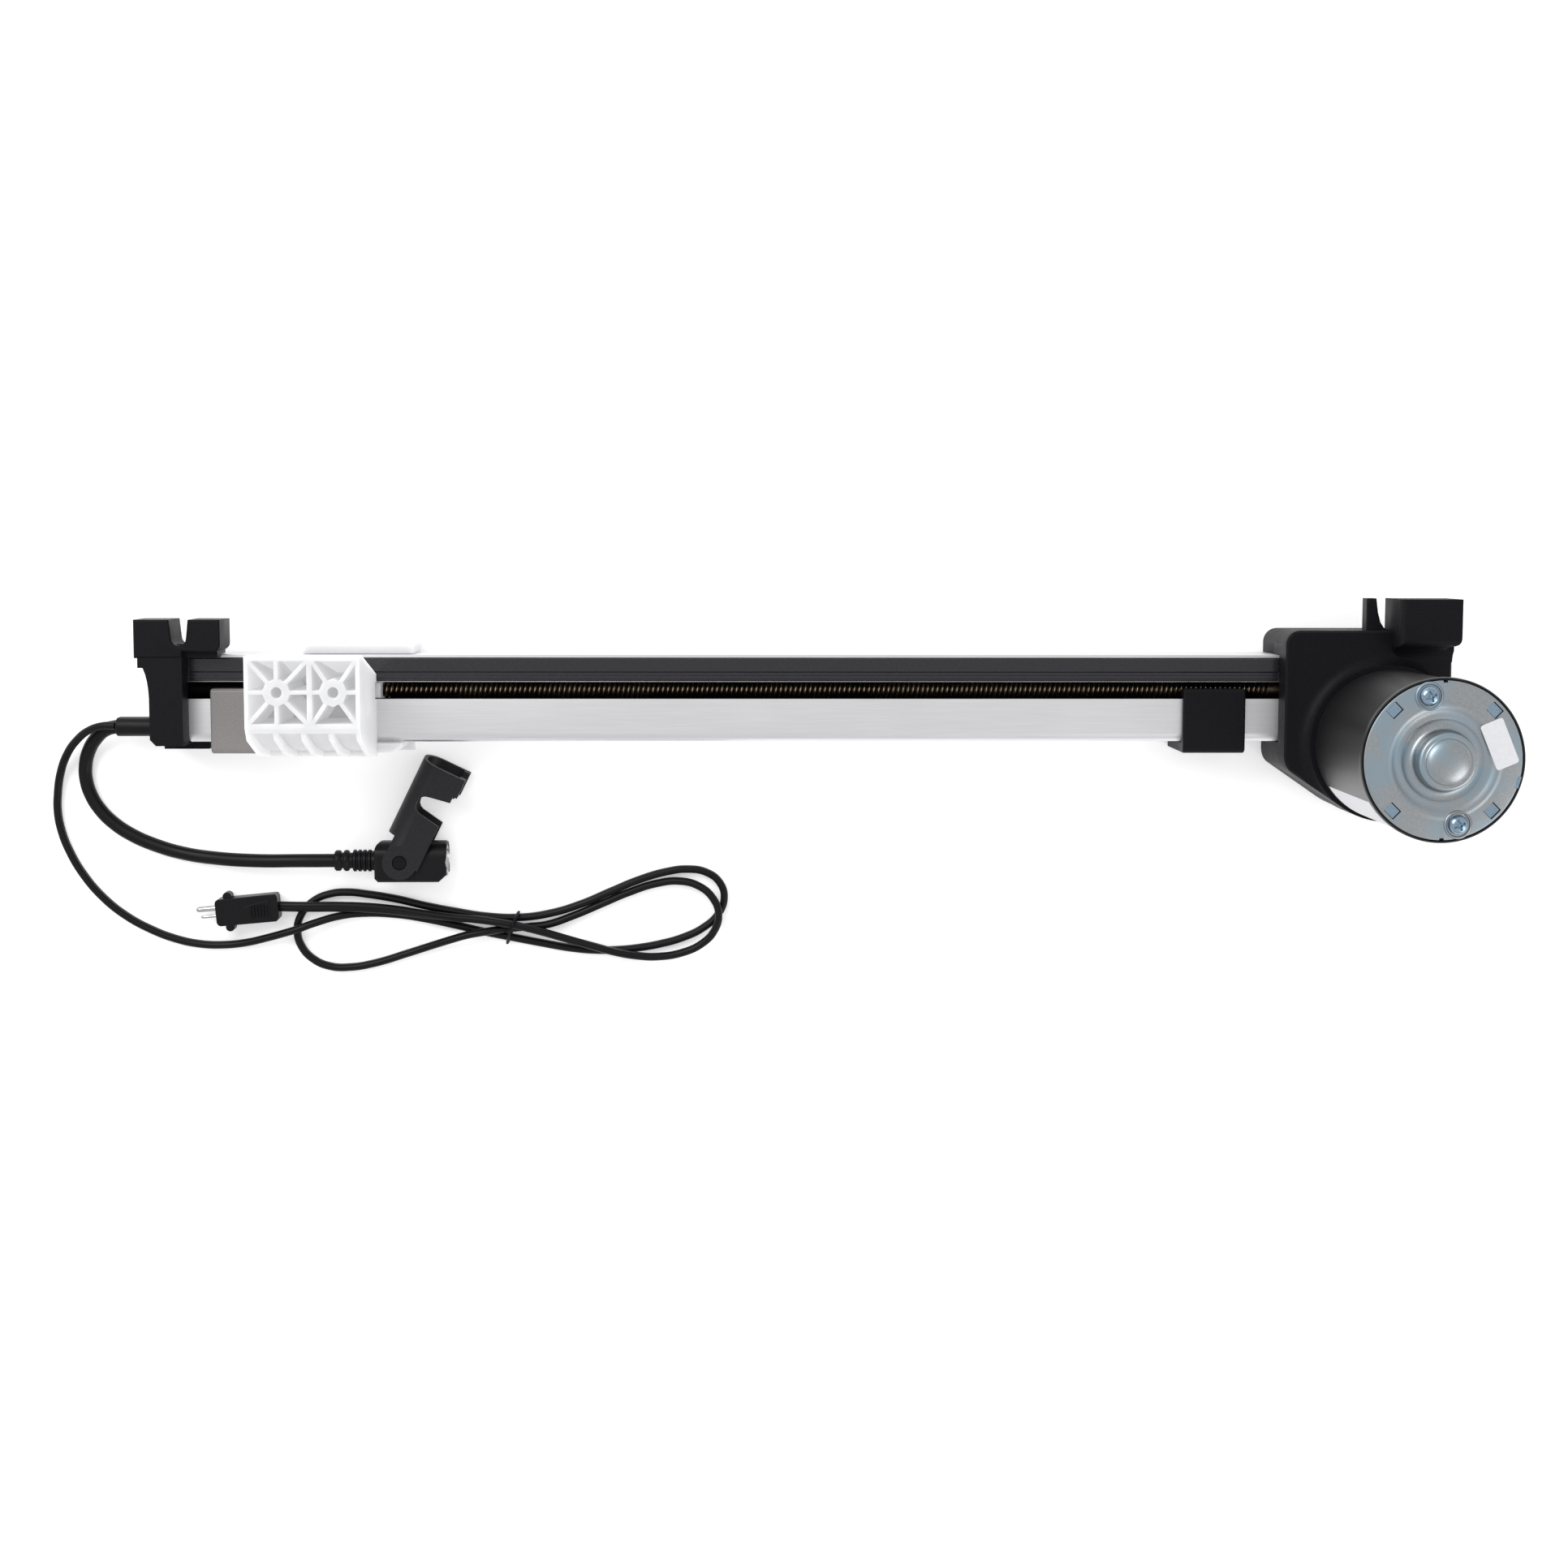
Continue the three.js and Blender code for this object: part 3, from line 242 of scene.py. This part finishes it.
def refined(node, width, segments=2, angle=28, sharp=35):
    """A CAD node's shape as a new piece: flat faces made whole, edges rounded by width millimetres."""
    shape = bmesh.new()
    shape.from_mesh(frame["nodes"][node].data)
    bmesh.ops.remove_doubles(shape, verts=shape.verts, dist=0.002 * MM)
    bmesh.ops.dissolve_limit(shape, angle_limit=math.radians(1), verts=shape.verts, edges=shape.edges)
    data = bpy.data.meshes.new(node + "_shape")
    shape.to_mesh(data)
    shape.free()
    made = piece(node + "_looks", data, SLOT_OF[node], BODY_OF[node], [node])
    return bevelled(made, width, segments, angle, sharp)


def mesh_of(name, points, faces):
    data = bpy.data.meshes.new(name)
    data.from_pydata([tuple(p) for p in points], [], faces)
    tidy = bmesh.new()
    tidy.from_mesh(data)
    bmesh.ops.remove_doubles(tidy, verts=tidy.verts, dist=0.001 * MM)
    bmesh.ops.dissolve_degenerate(tidy, edges=tidy.edges, dist=0.0005 * MM)
    bmesh.ops.recalc_face_normals(tidy, faces=tidy.faces)
    tidy.to_mesh(data)
    tidy.free()
    return data


def turned(name, profile, place, axis="z", count=96):
    """A closed profile of (radius, distance along the axis) turned round the axis through place."""
    points, faces = [], []
    for i in range(count):
        c, n = math.cos(2 * math.pi * i / count), math.sin(2 * math.pi * i / count)
        for radius, along in profile:
            spot = (radius * c, radius * n, along) if axis == "z" else (along, radius * c, radius * n)
            points.append(at(*(p + q for p, q in zip(place, spot))))
    size = len(profile)
    for i in range(count):
        a, b = i * size, (i + 1) % count * size
        faces += [(a + k, a + (k + 1) % size, b + (k + 1) % size, b + k) for k in range(size)]
    return mesh_of(name, points, faces)


def extruded(name, outline, low, high, to_space):
    """An outline pulled from low to high; to_space turns (u, v, w) into a place."""
    size = len(outline)
    points = [to_space(u, v, w) for w in (low, high) for u, v in outline]
    faces = [tuple(range(size))[::-1], tuple(range(size, 2 * size))]
    faces += [(k, (k + 1) % size, size + (k + 1) % size, size + k) for k in range(size)]
    return mesh_of(name, points, faces)


def block(name, limits, turn=0, pivot=(0, 0), lean=0):
    """A box in a frame turned about Z at a pivot, used for cutting and for small details."""
    (x0, x1), (y0, y1), (z0, z1) = limits
    c, n = math.cos(math.radians(turn)), math.sin(math.radians(turn))

    def spot(u, v, w):
        return at(pivot[0] + u * c - v * n, pivot[1] + u * n + v * c, w + lean * u)

    return extruded(name, [(x0, y0), (x1, y0), (x1, y1), (x0, y1)], z0, z1, spot)


def merged(name, parts):
    """Several meshes as one."""
    whole = bmesh.new()
    for part in parts:
        whole.from_mesh(part)
    data = bpy.data.meshes.new(name)
    whole.to_mesh(data)
    whole.free()
    return data


def carved(data, cutters):
    """The mesh with other meshes cut out of it."""
    body = bpy.data.objects.new("body", data)
    SCENE.collection.objects.link(body)
    for cutter in cutters:
        tool = bpy.data.objects.new("tool", cutter)
        SCENE.collection.objects.link(tool)
        step = body.modifiers.new("cut", "BOOLEAN")
        step.object, step.operation, step.solver = tool, "DIFFERENCE", "EXACT"
        bpy.context.view_layer.update()
        result = bpy.data.meshes.new_from_object(body.evaluated_get(bpy.context.evaluated_depsgraph_get()))
        body.modifiers.clear()
        body.data = result
        bpy.data.objects.remove(tool)
    bpy.data.objects.remove(body)
    return result


def bevelled(made, width, segments=2, angle=28, sharp=35):
    """Rounds a piece's edges by width millimetres."""
    smooth(made, sharp)
    bevel = made.modifiers.new("edges", "BEVEL")
    bevel.width = width * MM
    bevel.segments = segments
    bevel.limit_method = "ANGLE"
    bevel.angle_limit = math.radians(angle)
    bevel.harden_normals = True
    bevel.use_clamp_overlap = True
    return made


def twin_section(radius, offset, steps=14):
    """The outline of a twin lead: two round cores, one above the other, with a groove between them."""
    curve = bpy.data.curves.new("twin_section", "CURVE")
    curve.dimensions = "2D"
    reach = math.acos(-offset / radius)
    right = [(offset + radius * math.cos(t), radius * math.sin(t))
             for t in (reach * (2 * k / steps - 1) for k in range(steps + 1))]
    outline = [(y, x) for x, y in right + [(-x, -y) for x, y in right]]
    spline = curve.splines.new("POLY")
    spline.points.add(len(outline) - 1)
    for knot, (x, y) in zip(spline.points, outline):
        knot.co = (x * MM, y * MM, 0, 1)
    spline.use_cyclic_u = True
    made = bpy.data.objects.new("twin_section", curve)
    SCENE.collection.objects.link(made)
    made.hide_render = made.hide_viewport = True
    return made


def lead(name, points, diameter, stands_for, section=None):
    """A lead along points, a curve of one open spline."""
    curve = bpy.data.curves.new(name, "CURVE")
    curve.dimensions = "3D"
    if section:
        curve.bevel_mode, curve.bevel_object, curve.twist_mode = "OBJECT", section, "Z_UP"
    curve.bevel_depth = diameter / 2 * MM
    curve.bevel_resolution = 6
    curve.use_fill_caps = True
    curve.resolution_u = 10
    spline = curve.splines.new("BEZIER")
    spline.bezier_points.add(len(points) - 1)
    for number, (knot, point) in enumerate(zip(spline.bezier_points, points)):
        knot.co = at(*point)
        knot.handle_left_type = knot.handle_right_type = "AUTO"
        if section:
            knot.tilt = math.pi / 2 * min(max((number - len(points) + 9) / 5, 0), 1)
    return piece(name, curve, "black_rubber", "frame", stands_for)


# ---------------------------------------------------------------- leads

CONTROL_ROUTE = [
    (-23.6, -17, 10.7), (-29, -18.4, 9.8), (-34.2, -22.6, 7.6), (-38, -28.2, 5.2), (-39.9, -34.6, 3.7),
    (-39.9, -41.2, 3.2), (-37.9, -48, 3.2), (-34.2, -54.2, 3.2), (-28.8, -59.9, 3.2), (-20.8, -65.4, 3.2),
    (-10.6, -70, 3.3), (2, -73.7, 3.8), (17, -75.8, 5.2), (34.4, -76.6, 7.4), (54, -76.4, 9.4),
                 (69.1, -76.3, 9.9),
]
POWER_ROUTE = [
    (-23.4, -16.3, 16.9), (-29, -16.4, 16.1), (-35.6, -18.5, 13.6), (-42, -23.2, 10.1), (-47.4, -30, 6.5),
    (-51, -38.5, 3.8), (-52.6, -47, 2.6), (-52.9, -55, 2.45), (-51.4, -64, 2.45), (-48, -73.2, 2.45),
    (-42.5, -83, 2.45), (-34.6, -92.8, 2.45), (-24.6, -101.3, 2.45), (-12.8, -108, 2.45),
               (-2.2, -112.1, 2.45),
    (7.7, -114.3, 2.45), (18.1, -114.8, 2.6), (28.5, -113.7, 3.6), (38.6, -111.2, 5.4), (46.2, -109, 6.7),
    (52, -107.2, 7.1), (59.4, -104.6, 6.5), (69.9, -101.8, 4.5), (79.9, -100.8, 2.8), (95.3, -101.4, 2.45),
    (108.2, -103.4, 2.45), (121.5, -106.3, 2.45), (134.4, -109.4, 2.45), (147.3, -112, 2.45),
               (160.6, -114.6, 2.45),
    (172.5, -116.7, 2.45), (183.1, -117.7, 2.45), (192.8, -117.6, 2.45), (202.4, -116.7, 2.45),
               (212, -115, 2.45),
    (222, -112.2, 2.45), (231.2, -107.8, 2.45), (237.8, -101.8, 2.45), (240.6, -94.4, 2.45),
               (238.6, -87.4, 2.45),
    (232.6, -82.8, 2.45), (224.4, -81.4, 2.45), (215, -82.5, 2.45), (202.5, -86.2, 2.45),
               (190.4, -91.2, 2.45),
    (177, -96.9, 2.45), (163.9, -100.9, 2.45), (149.5, -102.9, 2.45), (134.5, -102.3, 2.45),
               (121.5, -100.2, 2.45),
    (108.3, -97.6, 2.45), (95.4, -94.5, 2.45), (82.5, -92.3, 2.45), (74, -91.4, 2.45), (66, -92.1, 2.45),
    (58.6, -95.2, 2.45), (53.3, -100.9, 2.45), (51.2, -108.2, 2.45), (53, -115.6, 2.45), (58.2, -121.4, 2.45),
    (65.6, -124.6, 2.45), (74.6, -125, 2.45), (85, -123.3, 2.45), (100, -118.8, 2.5), (111.5, -114.9, 4.2),
    (119.5, -112.2, 6.1), (127, -110, 7.1), (134.4, -108.7, 6.9), (141, -107.9, 5.3), (147.4, -107.4, 3.6),
    (154, -107, 2.7), (161.5, -106.2, 2.45), (173.5, -102.2, 2.45), (186.1, -96.9, 2.45), (197.6, -92, 2.45),
    (210.2, -87.9, 2.5), (220.8, -86.7, 3.2), (229.2, -88.7, 4.5), (235.4, -93.8, 6), (238.1, -100.8, 7.1),
    (236.3, -108.2, 7.1), (230.6, -114.4, 6.2), (221.8, -118.5, 5.6), (211, -120.2, 5.8),
               (201.5, -119.6, 6.7),
    (192.7, -118, 7.1), (183.1, -115.4, 7.1), (172.5, -112.4, 7.1), (161, -109, 7.3), (154, -107.1, 7.6),
    (147.4, -105.5, 7.8), (140.5, -104.3, 7.8), (134.4, -103.4, 7.4), (120.8, -102.3, 6.8),
               (108.2, -100.8, 6.6),
    (95.4, -98.9, 6.6), (82, -97.7, 6.6), (69.2, -97.3, 6.7), (58, -97.3, 6.8), (50, -97.3, 6.1),
               (43.6, -97.3, 5),
]
control_lead = lead("control_lead_run", CONTROL_ROUTE, 6, ["control_lead"])
power_lead = lead("power_lead_run", POWER_ROUTE, 4.4, ["power_lead", "power_lead_bundle", "power_lead_tail"],
                  twin_section(1.66, 0.62))

# ---------------------------------------------------------------- rail and screw

SCREW_Z = 22
rail = refined("rail", 0.25, 2)
# The faces inside the rail's screw slot take the near-black finish: painted shade in the recess
rail.data.materials.append(SLOT_PAINTED_SHADE)
slot_low, slot_high = at(0, -7.6, 14.4), at(0, 3.95, 34.6)
for face in rail.data.polygons:
    middle = face.center
    inside = slot_low.y < middle.y < slot_high.y and slot_low.z < middle.z < slot_high.z
    if inside and abs(face.normal.x) < 0.5:
        face.material_index = 1

COVER = [(4.3, 31.4), (13.9, 31.4), (13.9, 35.05), (13.6, 35.38), (8.3, 35.38), (8.05, 35.1), (7.75, 34.75),
         (6.55, 34.75),
         (6.4, 35.0), (5.2, 35.0), (5.05, 34.8), (4.7, 34.8), (4.5, 35.0), (4.3, 35.0)]
cover = piece("wire_channel_cover_strip", extruded("cover", COVER, 12.3, 479.7, lambda y, z, x: at(x, y, z)),
              "black_gloss", "frame", ["wire_channel_cover"])
bevelled(cover, 0.06, 1)


def threaded(name, start, end, crest, root, pitch, starts, place, count=36):
    """A right-hand trapezoidal thread along X: rows of points follow the helix."""
    rows = [(0, root), (0.3, crest), (0.46, crest), (0.76, root)]
    lead_length = pitch * starts
    turns = int((end - start) / pitch) + 2 + 2 * starts
    points, faces = [], []
    size = len(rows)
    first = start - lead_length
    for i in range(turns * size):
        share, radius = rows[i % size]
        for j in range(count + 1):
            x = first + (i // size + share) * pitch + lead_length * j / count
            angle = -2 * math.pi * j / count
            held = min(max(x, start), end)
            reach = radius if held == x else root
            points.append(at(held, place[0] + reach * math.cos(angle), place[1] + reach * math.sin(angle)))
    width = count + 1
    for i in range(turns * size - 1):
        faces += [(i * width + j, i * width + j + 1, (i + 1) * width + j + 1, (i + 1) * width + j)
                  for j in range(count)]
    return mesh_of(name, points, faces)


screw_ends = [turned("screw_end", [(0, a), (r - 0.3, a), (r, a + 0.3), (r, b - 0.3), (r - 0.3, b), (0, b)],
                     (0, 0, SCREW_Z), "x", 32)
              for a, b, r in ((2.5, 9.2, 3), (9, 40.2, 3.3), (478, 489.2, 3.7), (489, 547, 4))]
screw = piece("lead_screw_threaded", merged("screw", [
    threaded("thread", 40, 478.4, 4.4, 3.1, 2.125, 2, (0, SCREW_Z)), *screw_ends]), "screw_steel", "screw",
              ["lead_screw"])
# Faces near the thread's root take the near-black finish: painted shade in the grooves between the crests
screw.data.materials.append(SLOT_PAINTED_SHADE)
axis = at(0, 0, SCREW_Z)
for face in screw.data.polygons:
    reach = [math.hypot(screw.data.vertices[v].co.y - axis.y, screw.data.vertices[v].co.z - axis.z)
             for v in face.vertices]
    if max(reach) < 3.5 * MM:
        face.material_index = 1
smooth(screw, 28)

# ---------------------------------------------------------------- gearbox and motor

MOTOR_X, MOTOR_Y, PLATE_Z = 524.1, -21.9, 131.6
MOTOR_AXIS = (MOTOR_X, MOTOR_Y, 0)
refined("gearbox_front_cover", 0.6, 3)
refined("gearbox_back_cover", 0.5, 2)

can = piece("motor_can_drawn", turned("can", [
    (9.3, 51.3), (30.2, 51.3), (31.3, 51.6), (31.9, 52.4), (32, 53.2), (32, 126.4), (32.25, 126.9),
                                              (32.8, 127.3),
    (33, 127.7), (33, 130.6), (32.85, 131), (32.3, 131), (32.2, 130.7), (32.2, 127.4), (29.8, 127.4),
                                              (29.8, 53.3),
    (9.3, 53.3)], MOTOR_AXIS, "z", 144), "black_can", "frame", ["motor_can"])
smooth(can, 30)

# Heights are above the plate's flat rim: a dome in a rolled cup, a sunk ring and a raised bead round it.
dome = [(9.15 * math.sin(t), 6.9 + 2.9 * math.cos(t)) for t in (math.pi / 2 * k / 10 for k in range(11))]
PLATE = dome + [
    (9.5, 6.65), (10.2, 6.75), (10.8, 6.7), (11.3, 6.35), (11.6, 5.7), (11.8, 4.6), (11.9, 1.0), (12.1, -0.1),
                (12.6, -0.8),
    (13.4, -1.2), (14.6, -1.35), (15.8, -1.3), (16.3, -1.05), (16.9, -0.85), (18.2, -0.85), (19.2, -0.75),
                (20.2, -0.35),
    (21.2, 0.1), (22.2, 0.28), (23.0, 0.2), (23.6, 0.02), (24.2, 0), (30.9, 0), (31.4, -0.1), (31.75, -0.45),
                (31.8, -0.9),
    (31.8, -3.8), (9.0, -3.8), (9.0, 5.0), (7.5, 6.6), (0, 6.6)]
plate_mesh = turned("plate", [(r, PLATE_Z + h) for r, h in PLATE], MOTOR_AXIS, "z", 144)
window_angles = (45, 135, 225, 315)
notch_angles = (90, 344, 270)
screw_angles = (104, 284)
cutters = [block("window", ((25.9, 30.5), (-2.7, 2.7), (PLATE_Z - 6, PLATE_Z + 3)), a, (MOTOR_X, MOTOR_Y))
           for a in window_angles]
cutters += [block("notch", ((30.9, 33), (-0.9, 0.9), (PLATE_Z - 6, PLATE_Z + 3)), a, (MOTOR_X, MOTOR_Y))
            for a in notch_angles]
plate = piece("motor_end_plate_pressed", carved(plate_mesh, cutters), "zinc_plate", "frame",
              ["motor_end_plate"])
smooth(plate, 32)


def on_plate(radius, degrees):
    angle = math.radians(degrees)
    return MOTOR_X + radius * math.cos(angle), MOTOR_Y + radius * math.sin(angle)


# The windows' lanced tabs slope down into the motor
tabs = [block("tab", ((26.1, 30.3), (-2.5, 2.5), (PLATE_Z - 1.4, PLATE_Z - 0.9)), a, (MOTOR_X, MOTOR_Y))
        for a in window_angles]
tabs.append(block("tab", ((30.2, 31.9), (-2.4, 2.4), (PLATE_Z - 0.4, PLATE_Z + 0.1)), 344,
                  (MOTOR_X, MOTOR_Y)))
tab_piece = piece("motor_plate_tabs", merged("tabs", tabs), "zinc_plate", "frame")
tab_piece.data.materials[0] = BLUE_ZINC
bevelled(tab_piece, 0.15, 2)

for number, degrees in enumerate(screw_angles, 1):
    x, y = on_plate(26.3, degrees)
    ring = piece(f"motor_screw_seat_{number}", turned("seat", [
        (4.6, PLATE_Z - 0.3), (4.6, PLATE_Z + 0.1), (4.85, PLATE_Z + 0.5), (5.15, PLATE_Z + 0.6),
                                                               (5.4, PLATE_Z + 0.5),
        (5.75, PLATE_Z + 0.05), (5.75, PLATE_Z - 0.3)], (x, y, 0), "z", 56), "zinc_plate")
    smooth(ring, 50)
    head = turned("head", [
        (0, PLATE_Z - 18.9), (1.9, PLATE_Z - 18.9), (1.9, PLATE_Z + 0.1), (3.8, PLATE_Z + 0.1),
                           (3.95, PLATE_Z + 0.3),
        (3.95, PLATE_Z + 0.8), (3.8, PLATE_Z + 1.5), (3.4, PLATE_Z + 2.1), (2.8, PLATE_Z + 2.55),
                           (2, PLATE_Z + 2.85),
        (1.1, PLATE_Z + 3.0), (0, PLATE_Z + 3.05)], (x, y, 0), "z", 56)
    cross = [block("cross", ((-2.35, 2.35), (-0.5, 0.5), (PLATE_Z + 1.3, PLATE_Z + 4)), turn, (x, y))
             for turn in (22, 112)]
    cross.append(turned("cone",
                        [(0, PLATE_Z + 0.9), (0.6, PLATE_Z + 1.2), (1.5, PLATE_Z + 4), (0, PLATE_Z + 4)],
                        (x, y, 0), "z", 24))
    head = piece(f"motor_screw_head_{number}", carved(head, cross), "zinc_plate", "frame",
                 [f"motor_screw_{number}"])
    head.data.materials[0] = BLUE_ZINC
    bevelled(head, 0.08, 2)

# Blank paper labels, on the plate and round the can's lower side
LABEL = (546.2, -15.3)
LABEL_TURN = 22.7
label_outline = []
for corner, (cx, cy) in enumerate(((3.7, 8.5), (-3.7, 8.5), (-3.7, -8.5), (3.7, -8.5))):
    for step in range(6):
        angle = math.pi / 2 * (corner + step / 5)
        label_outline.append((cx + 1.1 * math.cos(angle), cy + 1.1 * math.sin(angle)))


def on_label(u, v, w):
    c, n = math.cos(math.radians(LABEL_TURN)), math.sin(math.radians(LABEL_TURN))
    return at(LABEL[0] + u * c - v * n, LABEL[1] + u * n + v * c, w)


label = piece("plate_label", extruded("label", label_outline, PLATE_Z + 0.3, PLATE_Z + 0.42, on_label),
              "white_nylon")
label.data.materials[0] = PAPER
STICKER_ANGLES = range(213, 249, 2)
sticker_points = [at(MOTOR_X + r * math.cos(math.radians(a)), MOTOR_Y + r * math.sin(math.radians(a)), z)
                  for r in (31.95, 32.12) for z in (58, 122) for a in STICKER_ANGLES]
step = len(STICKER_ANGLES)
sticker_faces = []
for k in range(step - 1):
    sticker_faces += [(2 * step + k, 2 * step + k + 1, 3 * step + k + 1, 3 * step + k),
                      (k, k + 1, step + k + 1, step + k),
                      (k, k + 1, 2 * step + k + 1, 2 * step + k),
                      (step + k, step + k + 1, 3 * step + k + 1, 3 * step + k)]
sticker_faces += [(k, step + k, 3 * step + k, 2 * step + k) for k in (0, step - 1)]
sticker = piece("can_label", mesh_of("sticker", sticker_points, sticker_faces), "white_nylon")
sticker.data.materials[0] = PAPER
smooth(sticker, 30)

# ---------------------------------------------------------------- end cap, carriage and clips

refined("end_cap", 0.6, 3)
refined("carriage", 0.3, 2)
refined("drive_nut", 0.2)
refined("stop_left", 0.9, 4)
refined("stop_right", 0.7, 3)
refined("cable_boot", 0.35, 2)

# ---------------------------------------------------------------- control socket

SOCKET_Y, SOCKET_Z = -76.3, 9.9
latch_looks = refined("latch_sleeve", 0.4, 3)
# The latch sleeve takes the lighter black: painted light
latch_looks.data.materials[0] = ARM_PAINTED_LIGHT
socket = refined("socket_body", 0.45, 2)
relief = [(0, 69.5)]
for start, end, crest in ((69.5, 72.3, 4.6), (73.4, 75.8, 4.7)):
    relief += [(3.5, start), (crest - 0.5, start), (crest, start + 0.6), (crest, end - 0.6),
               (crest - 0.5, end), (3.5, end)]
relief.append((3.5, 77.3))
for k in range(4):
    start = 77.4 + 2.15 * k
    relief += [(4.2, start), (4.85, start + 0.4), (4.85, start + 1.4), (4.2, start + 1.8)]
relief += [(4.4, 86.2), (4.4, 87.1), (0, 87.1)]
strain_relief = piece("strain_relief_ribbed", turned("relief", relief, (0, SOCKET_Y, SOCKET_Z), "x", 48),
                      "black_rubber", "frame",
                      ["strain_relief"])
smooth(strain_relief, 50)
shell = piece("socket_shell_ring", turned("shell", [
    (6.45, 106.4), (6.9, 106.4), (6.9, 118.5), (6.82, 118.7), (6.6, 118.7), (6.45, 118.5)],
                                          (0, SOCKET_Y, SOCKET_Z), "x", 64),
    "bearing_steel", "frame", ["socket_shell"])
smooth(shell, 40)
pin = piece("latch_pivot_pin", turned("pivot", [
    (0, 0.4), (2.6, 0.4), (2.9, 0.7), (2.9, 1.7), (2.1, 1.7), (2.1, 18.1), (2.9, 18.1), (2.9, 19.4),
                                                (2.65, 19.7), (0, 19.7)],
    (98.6, SOCKET_Y, 0), "z", 48), "black_housing", "frame", ["latch_pin"])
smooth(pin, 30)

# ---------------------------------------------------------------- plug and tie

PLUG_X, PLUG_Y, PLUG_Z, PLUG_TURN = 43.9, -97.3, 4.6, math.radians(185.3)


def in_plug(u, v, w):
    return at(PLUG_X + u * math.cos(PLUG_TURN) - v * math.sin(PLUG_TURN),
              PLUG_Y + u * math.sin(PLUG_TURN) + v * math.cos(PLUG_TURN),
              PLUG_Z + w)


shoulder = [(0, -4.6), (0.6, -6.1), (26, -6), (27.2, -5.4), (27.6, -4.2), (27.6, 4.2), (27.2, 5.4), (26, 6),
            (1.4, 6.1),
            (0.3, 5), (0, 4)]
plug_parts = [extruded("plug", shoulder, -4.3, 4.3, in_plug)]
grip = [(3.4, -3.4), (4.2, -4), (15.4, -1.8), (15.4, 4), (4.2, 5), (3.4, 4.6)]
plug_parts.append(extruded("grip", grip, 4.0, 4.7, in_plug))
for k in range(6):
    u = 4.6 + 1.4 * k
    plug_parts.append(extruded("ridge", [(u, -2), (u + 0.75, -2), (u + 0.75, 3.6), (u, 3.6)], 4.5, 5.5,
                               in_plug))
for side in (-1, 1):
    knob = [(22 + 1.95 * math.cos(t), side * 6.8 + 1.95 * math.sin(t))
            for t in (math.pi * k / 12 for k in range(24))]
    plug_parts.append(extruded("knob", knob, -3, 3.4, in_plug))
plug = piece("plug_moulded", merged("plug", plug_parts), "black_rubber", "frame", ["plug_body"])
bevelled(plug, 0.35, 3)
for number, side, radius, end in ((1, -1.85, 1.3, 36.6), (2, 1.6, 0.75, 35)):
    profile = [(0, 19.3), (radius, 19.3), (radius, end - 1.3), (radius * 0.85, end - 0.6),
               (radius * 0.5, end - 0.1), (0, end)]
    rod = turned("rod", profile, (0, 0, 0), "x", 32)
    for vertex in rod.vertices:
        u, v, w = (vertex.co - ORIGIN) / MM
        vertex.co = in_plug(u, v + side, w)
    rod_piece = piece(f"plug_pin_rod_{number}", rod, "bearing_steel", "frame", [f"plug_pin_{number}"])
    smooth(rod_piece, 30)

tie_points = [(149.3, -100.4, 3), (149, -101, 6.4), (148, -103, 9.6), (146.9, -105.8, 10.9),
              (145.6, -109.4, 9),
              (144.5, -112.8, 5.6), (144.2, -114.3, 2.8), (145, -112.6, 1.1), (146.6, -107, 1),
              (148.3, -102, 1.1)]
tie_curve = bpy.data.curves.new("tie", "CURVE")
tie_curve.dimensions, tie_curve.bevel_depth, tie_curve.bevel_resolution = "3D", 0.6 * MM, 4
tie_spline = tie_curve.splines.new("BEZIER")
tie_spline.bezier_points.add(len(tie_points) - 1)
tie_spline.use_cyclic_u = True
for knot, point in zip(tie_spline.bezier_points, tie_points):
    knot.co = at(*point)
    knot.handle_left_type = knot.handle_right_type = "AUTO"
tie = piece("lead_tie_wire", tie_curve, "black_housing", "frame", ["lead_tie"])

# ---------------------------------------------------------------- floor and light

floor_data = bpy.data.meshes.new("floor")
FLOOR_REACH = 4  # metres from the middle to each edge
corners = [(-1, -1), (1, -1), (1, 1), (-1, 1)]
floor_data.from_pydata([(x * FLOOR_REACH, y * FLOOR_REACH, 0) for x, y in corners], [], [(0, 1, 2, 3)])
floor = bpy.data.objects.new("floor", floor_data)
SCENE.collection.objects.link(floor)
floor_paper = finish("floor_paper", (0.9, 0.9, 0.9), 0.9, 0, 300, 0.004, 0.0, 0.0)
floor_shader = floor_paper.node_tree.nodes["Principled BSDF"]
floor_shader.inputs["Emission Color"].default_value = (1, 1, 1, 1)
FLOOR_GLOW = 0.35
floor_shader.inputs["Emission Strength"].default_value = FLOOR_GLOW
floor_data.materials.append(floor_paper)

WORLD_STRENGTH = 0.8
world = bpy.data.worlds.new("studio")
world.use_nodes = True
world.node_tree.nodes["Background"].inputs["Color"].default_value = (1, 1, 1, 1)
world.node_tree.nodes["Background"].inputs["Strength"].default_value = WORLD_STRENGTH
SCENE.world = world


def softbox(name, place, size, power, aim=(0, 0, 0.03)):
    light = bpy.data.lights.new(name, "AREA")
    light.shape = "RECTANGLE"
    light.size, light.size_y = size
    light.energy = power
    made = bpy.data.objects.new(name, light)
    made.location = place
    made.rotation_euler = (Vector(aim) - Vector(place)).to_track_quat("-Z", "Y").to_euler()
    SCENE.collection.objects.link(made)


softbox("key", (-0.7, 0.75, 1.1), (0.9, 0.9), 12)
softbox("fill", (1.3, -0.9, 1.1), (1.0, 1.0), 7)
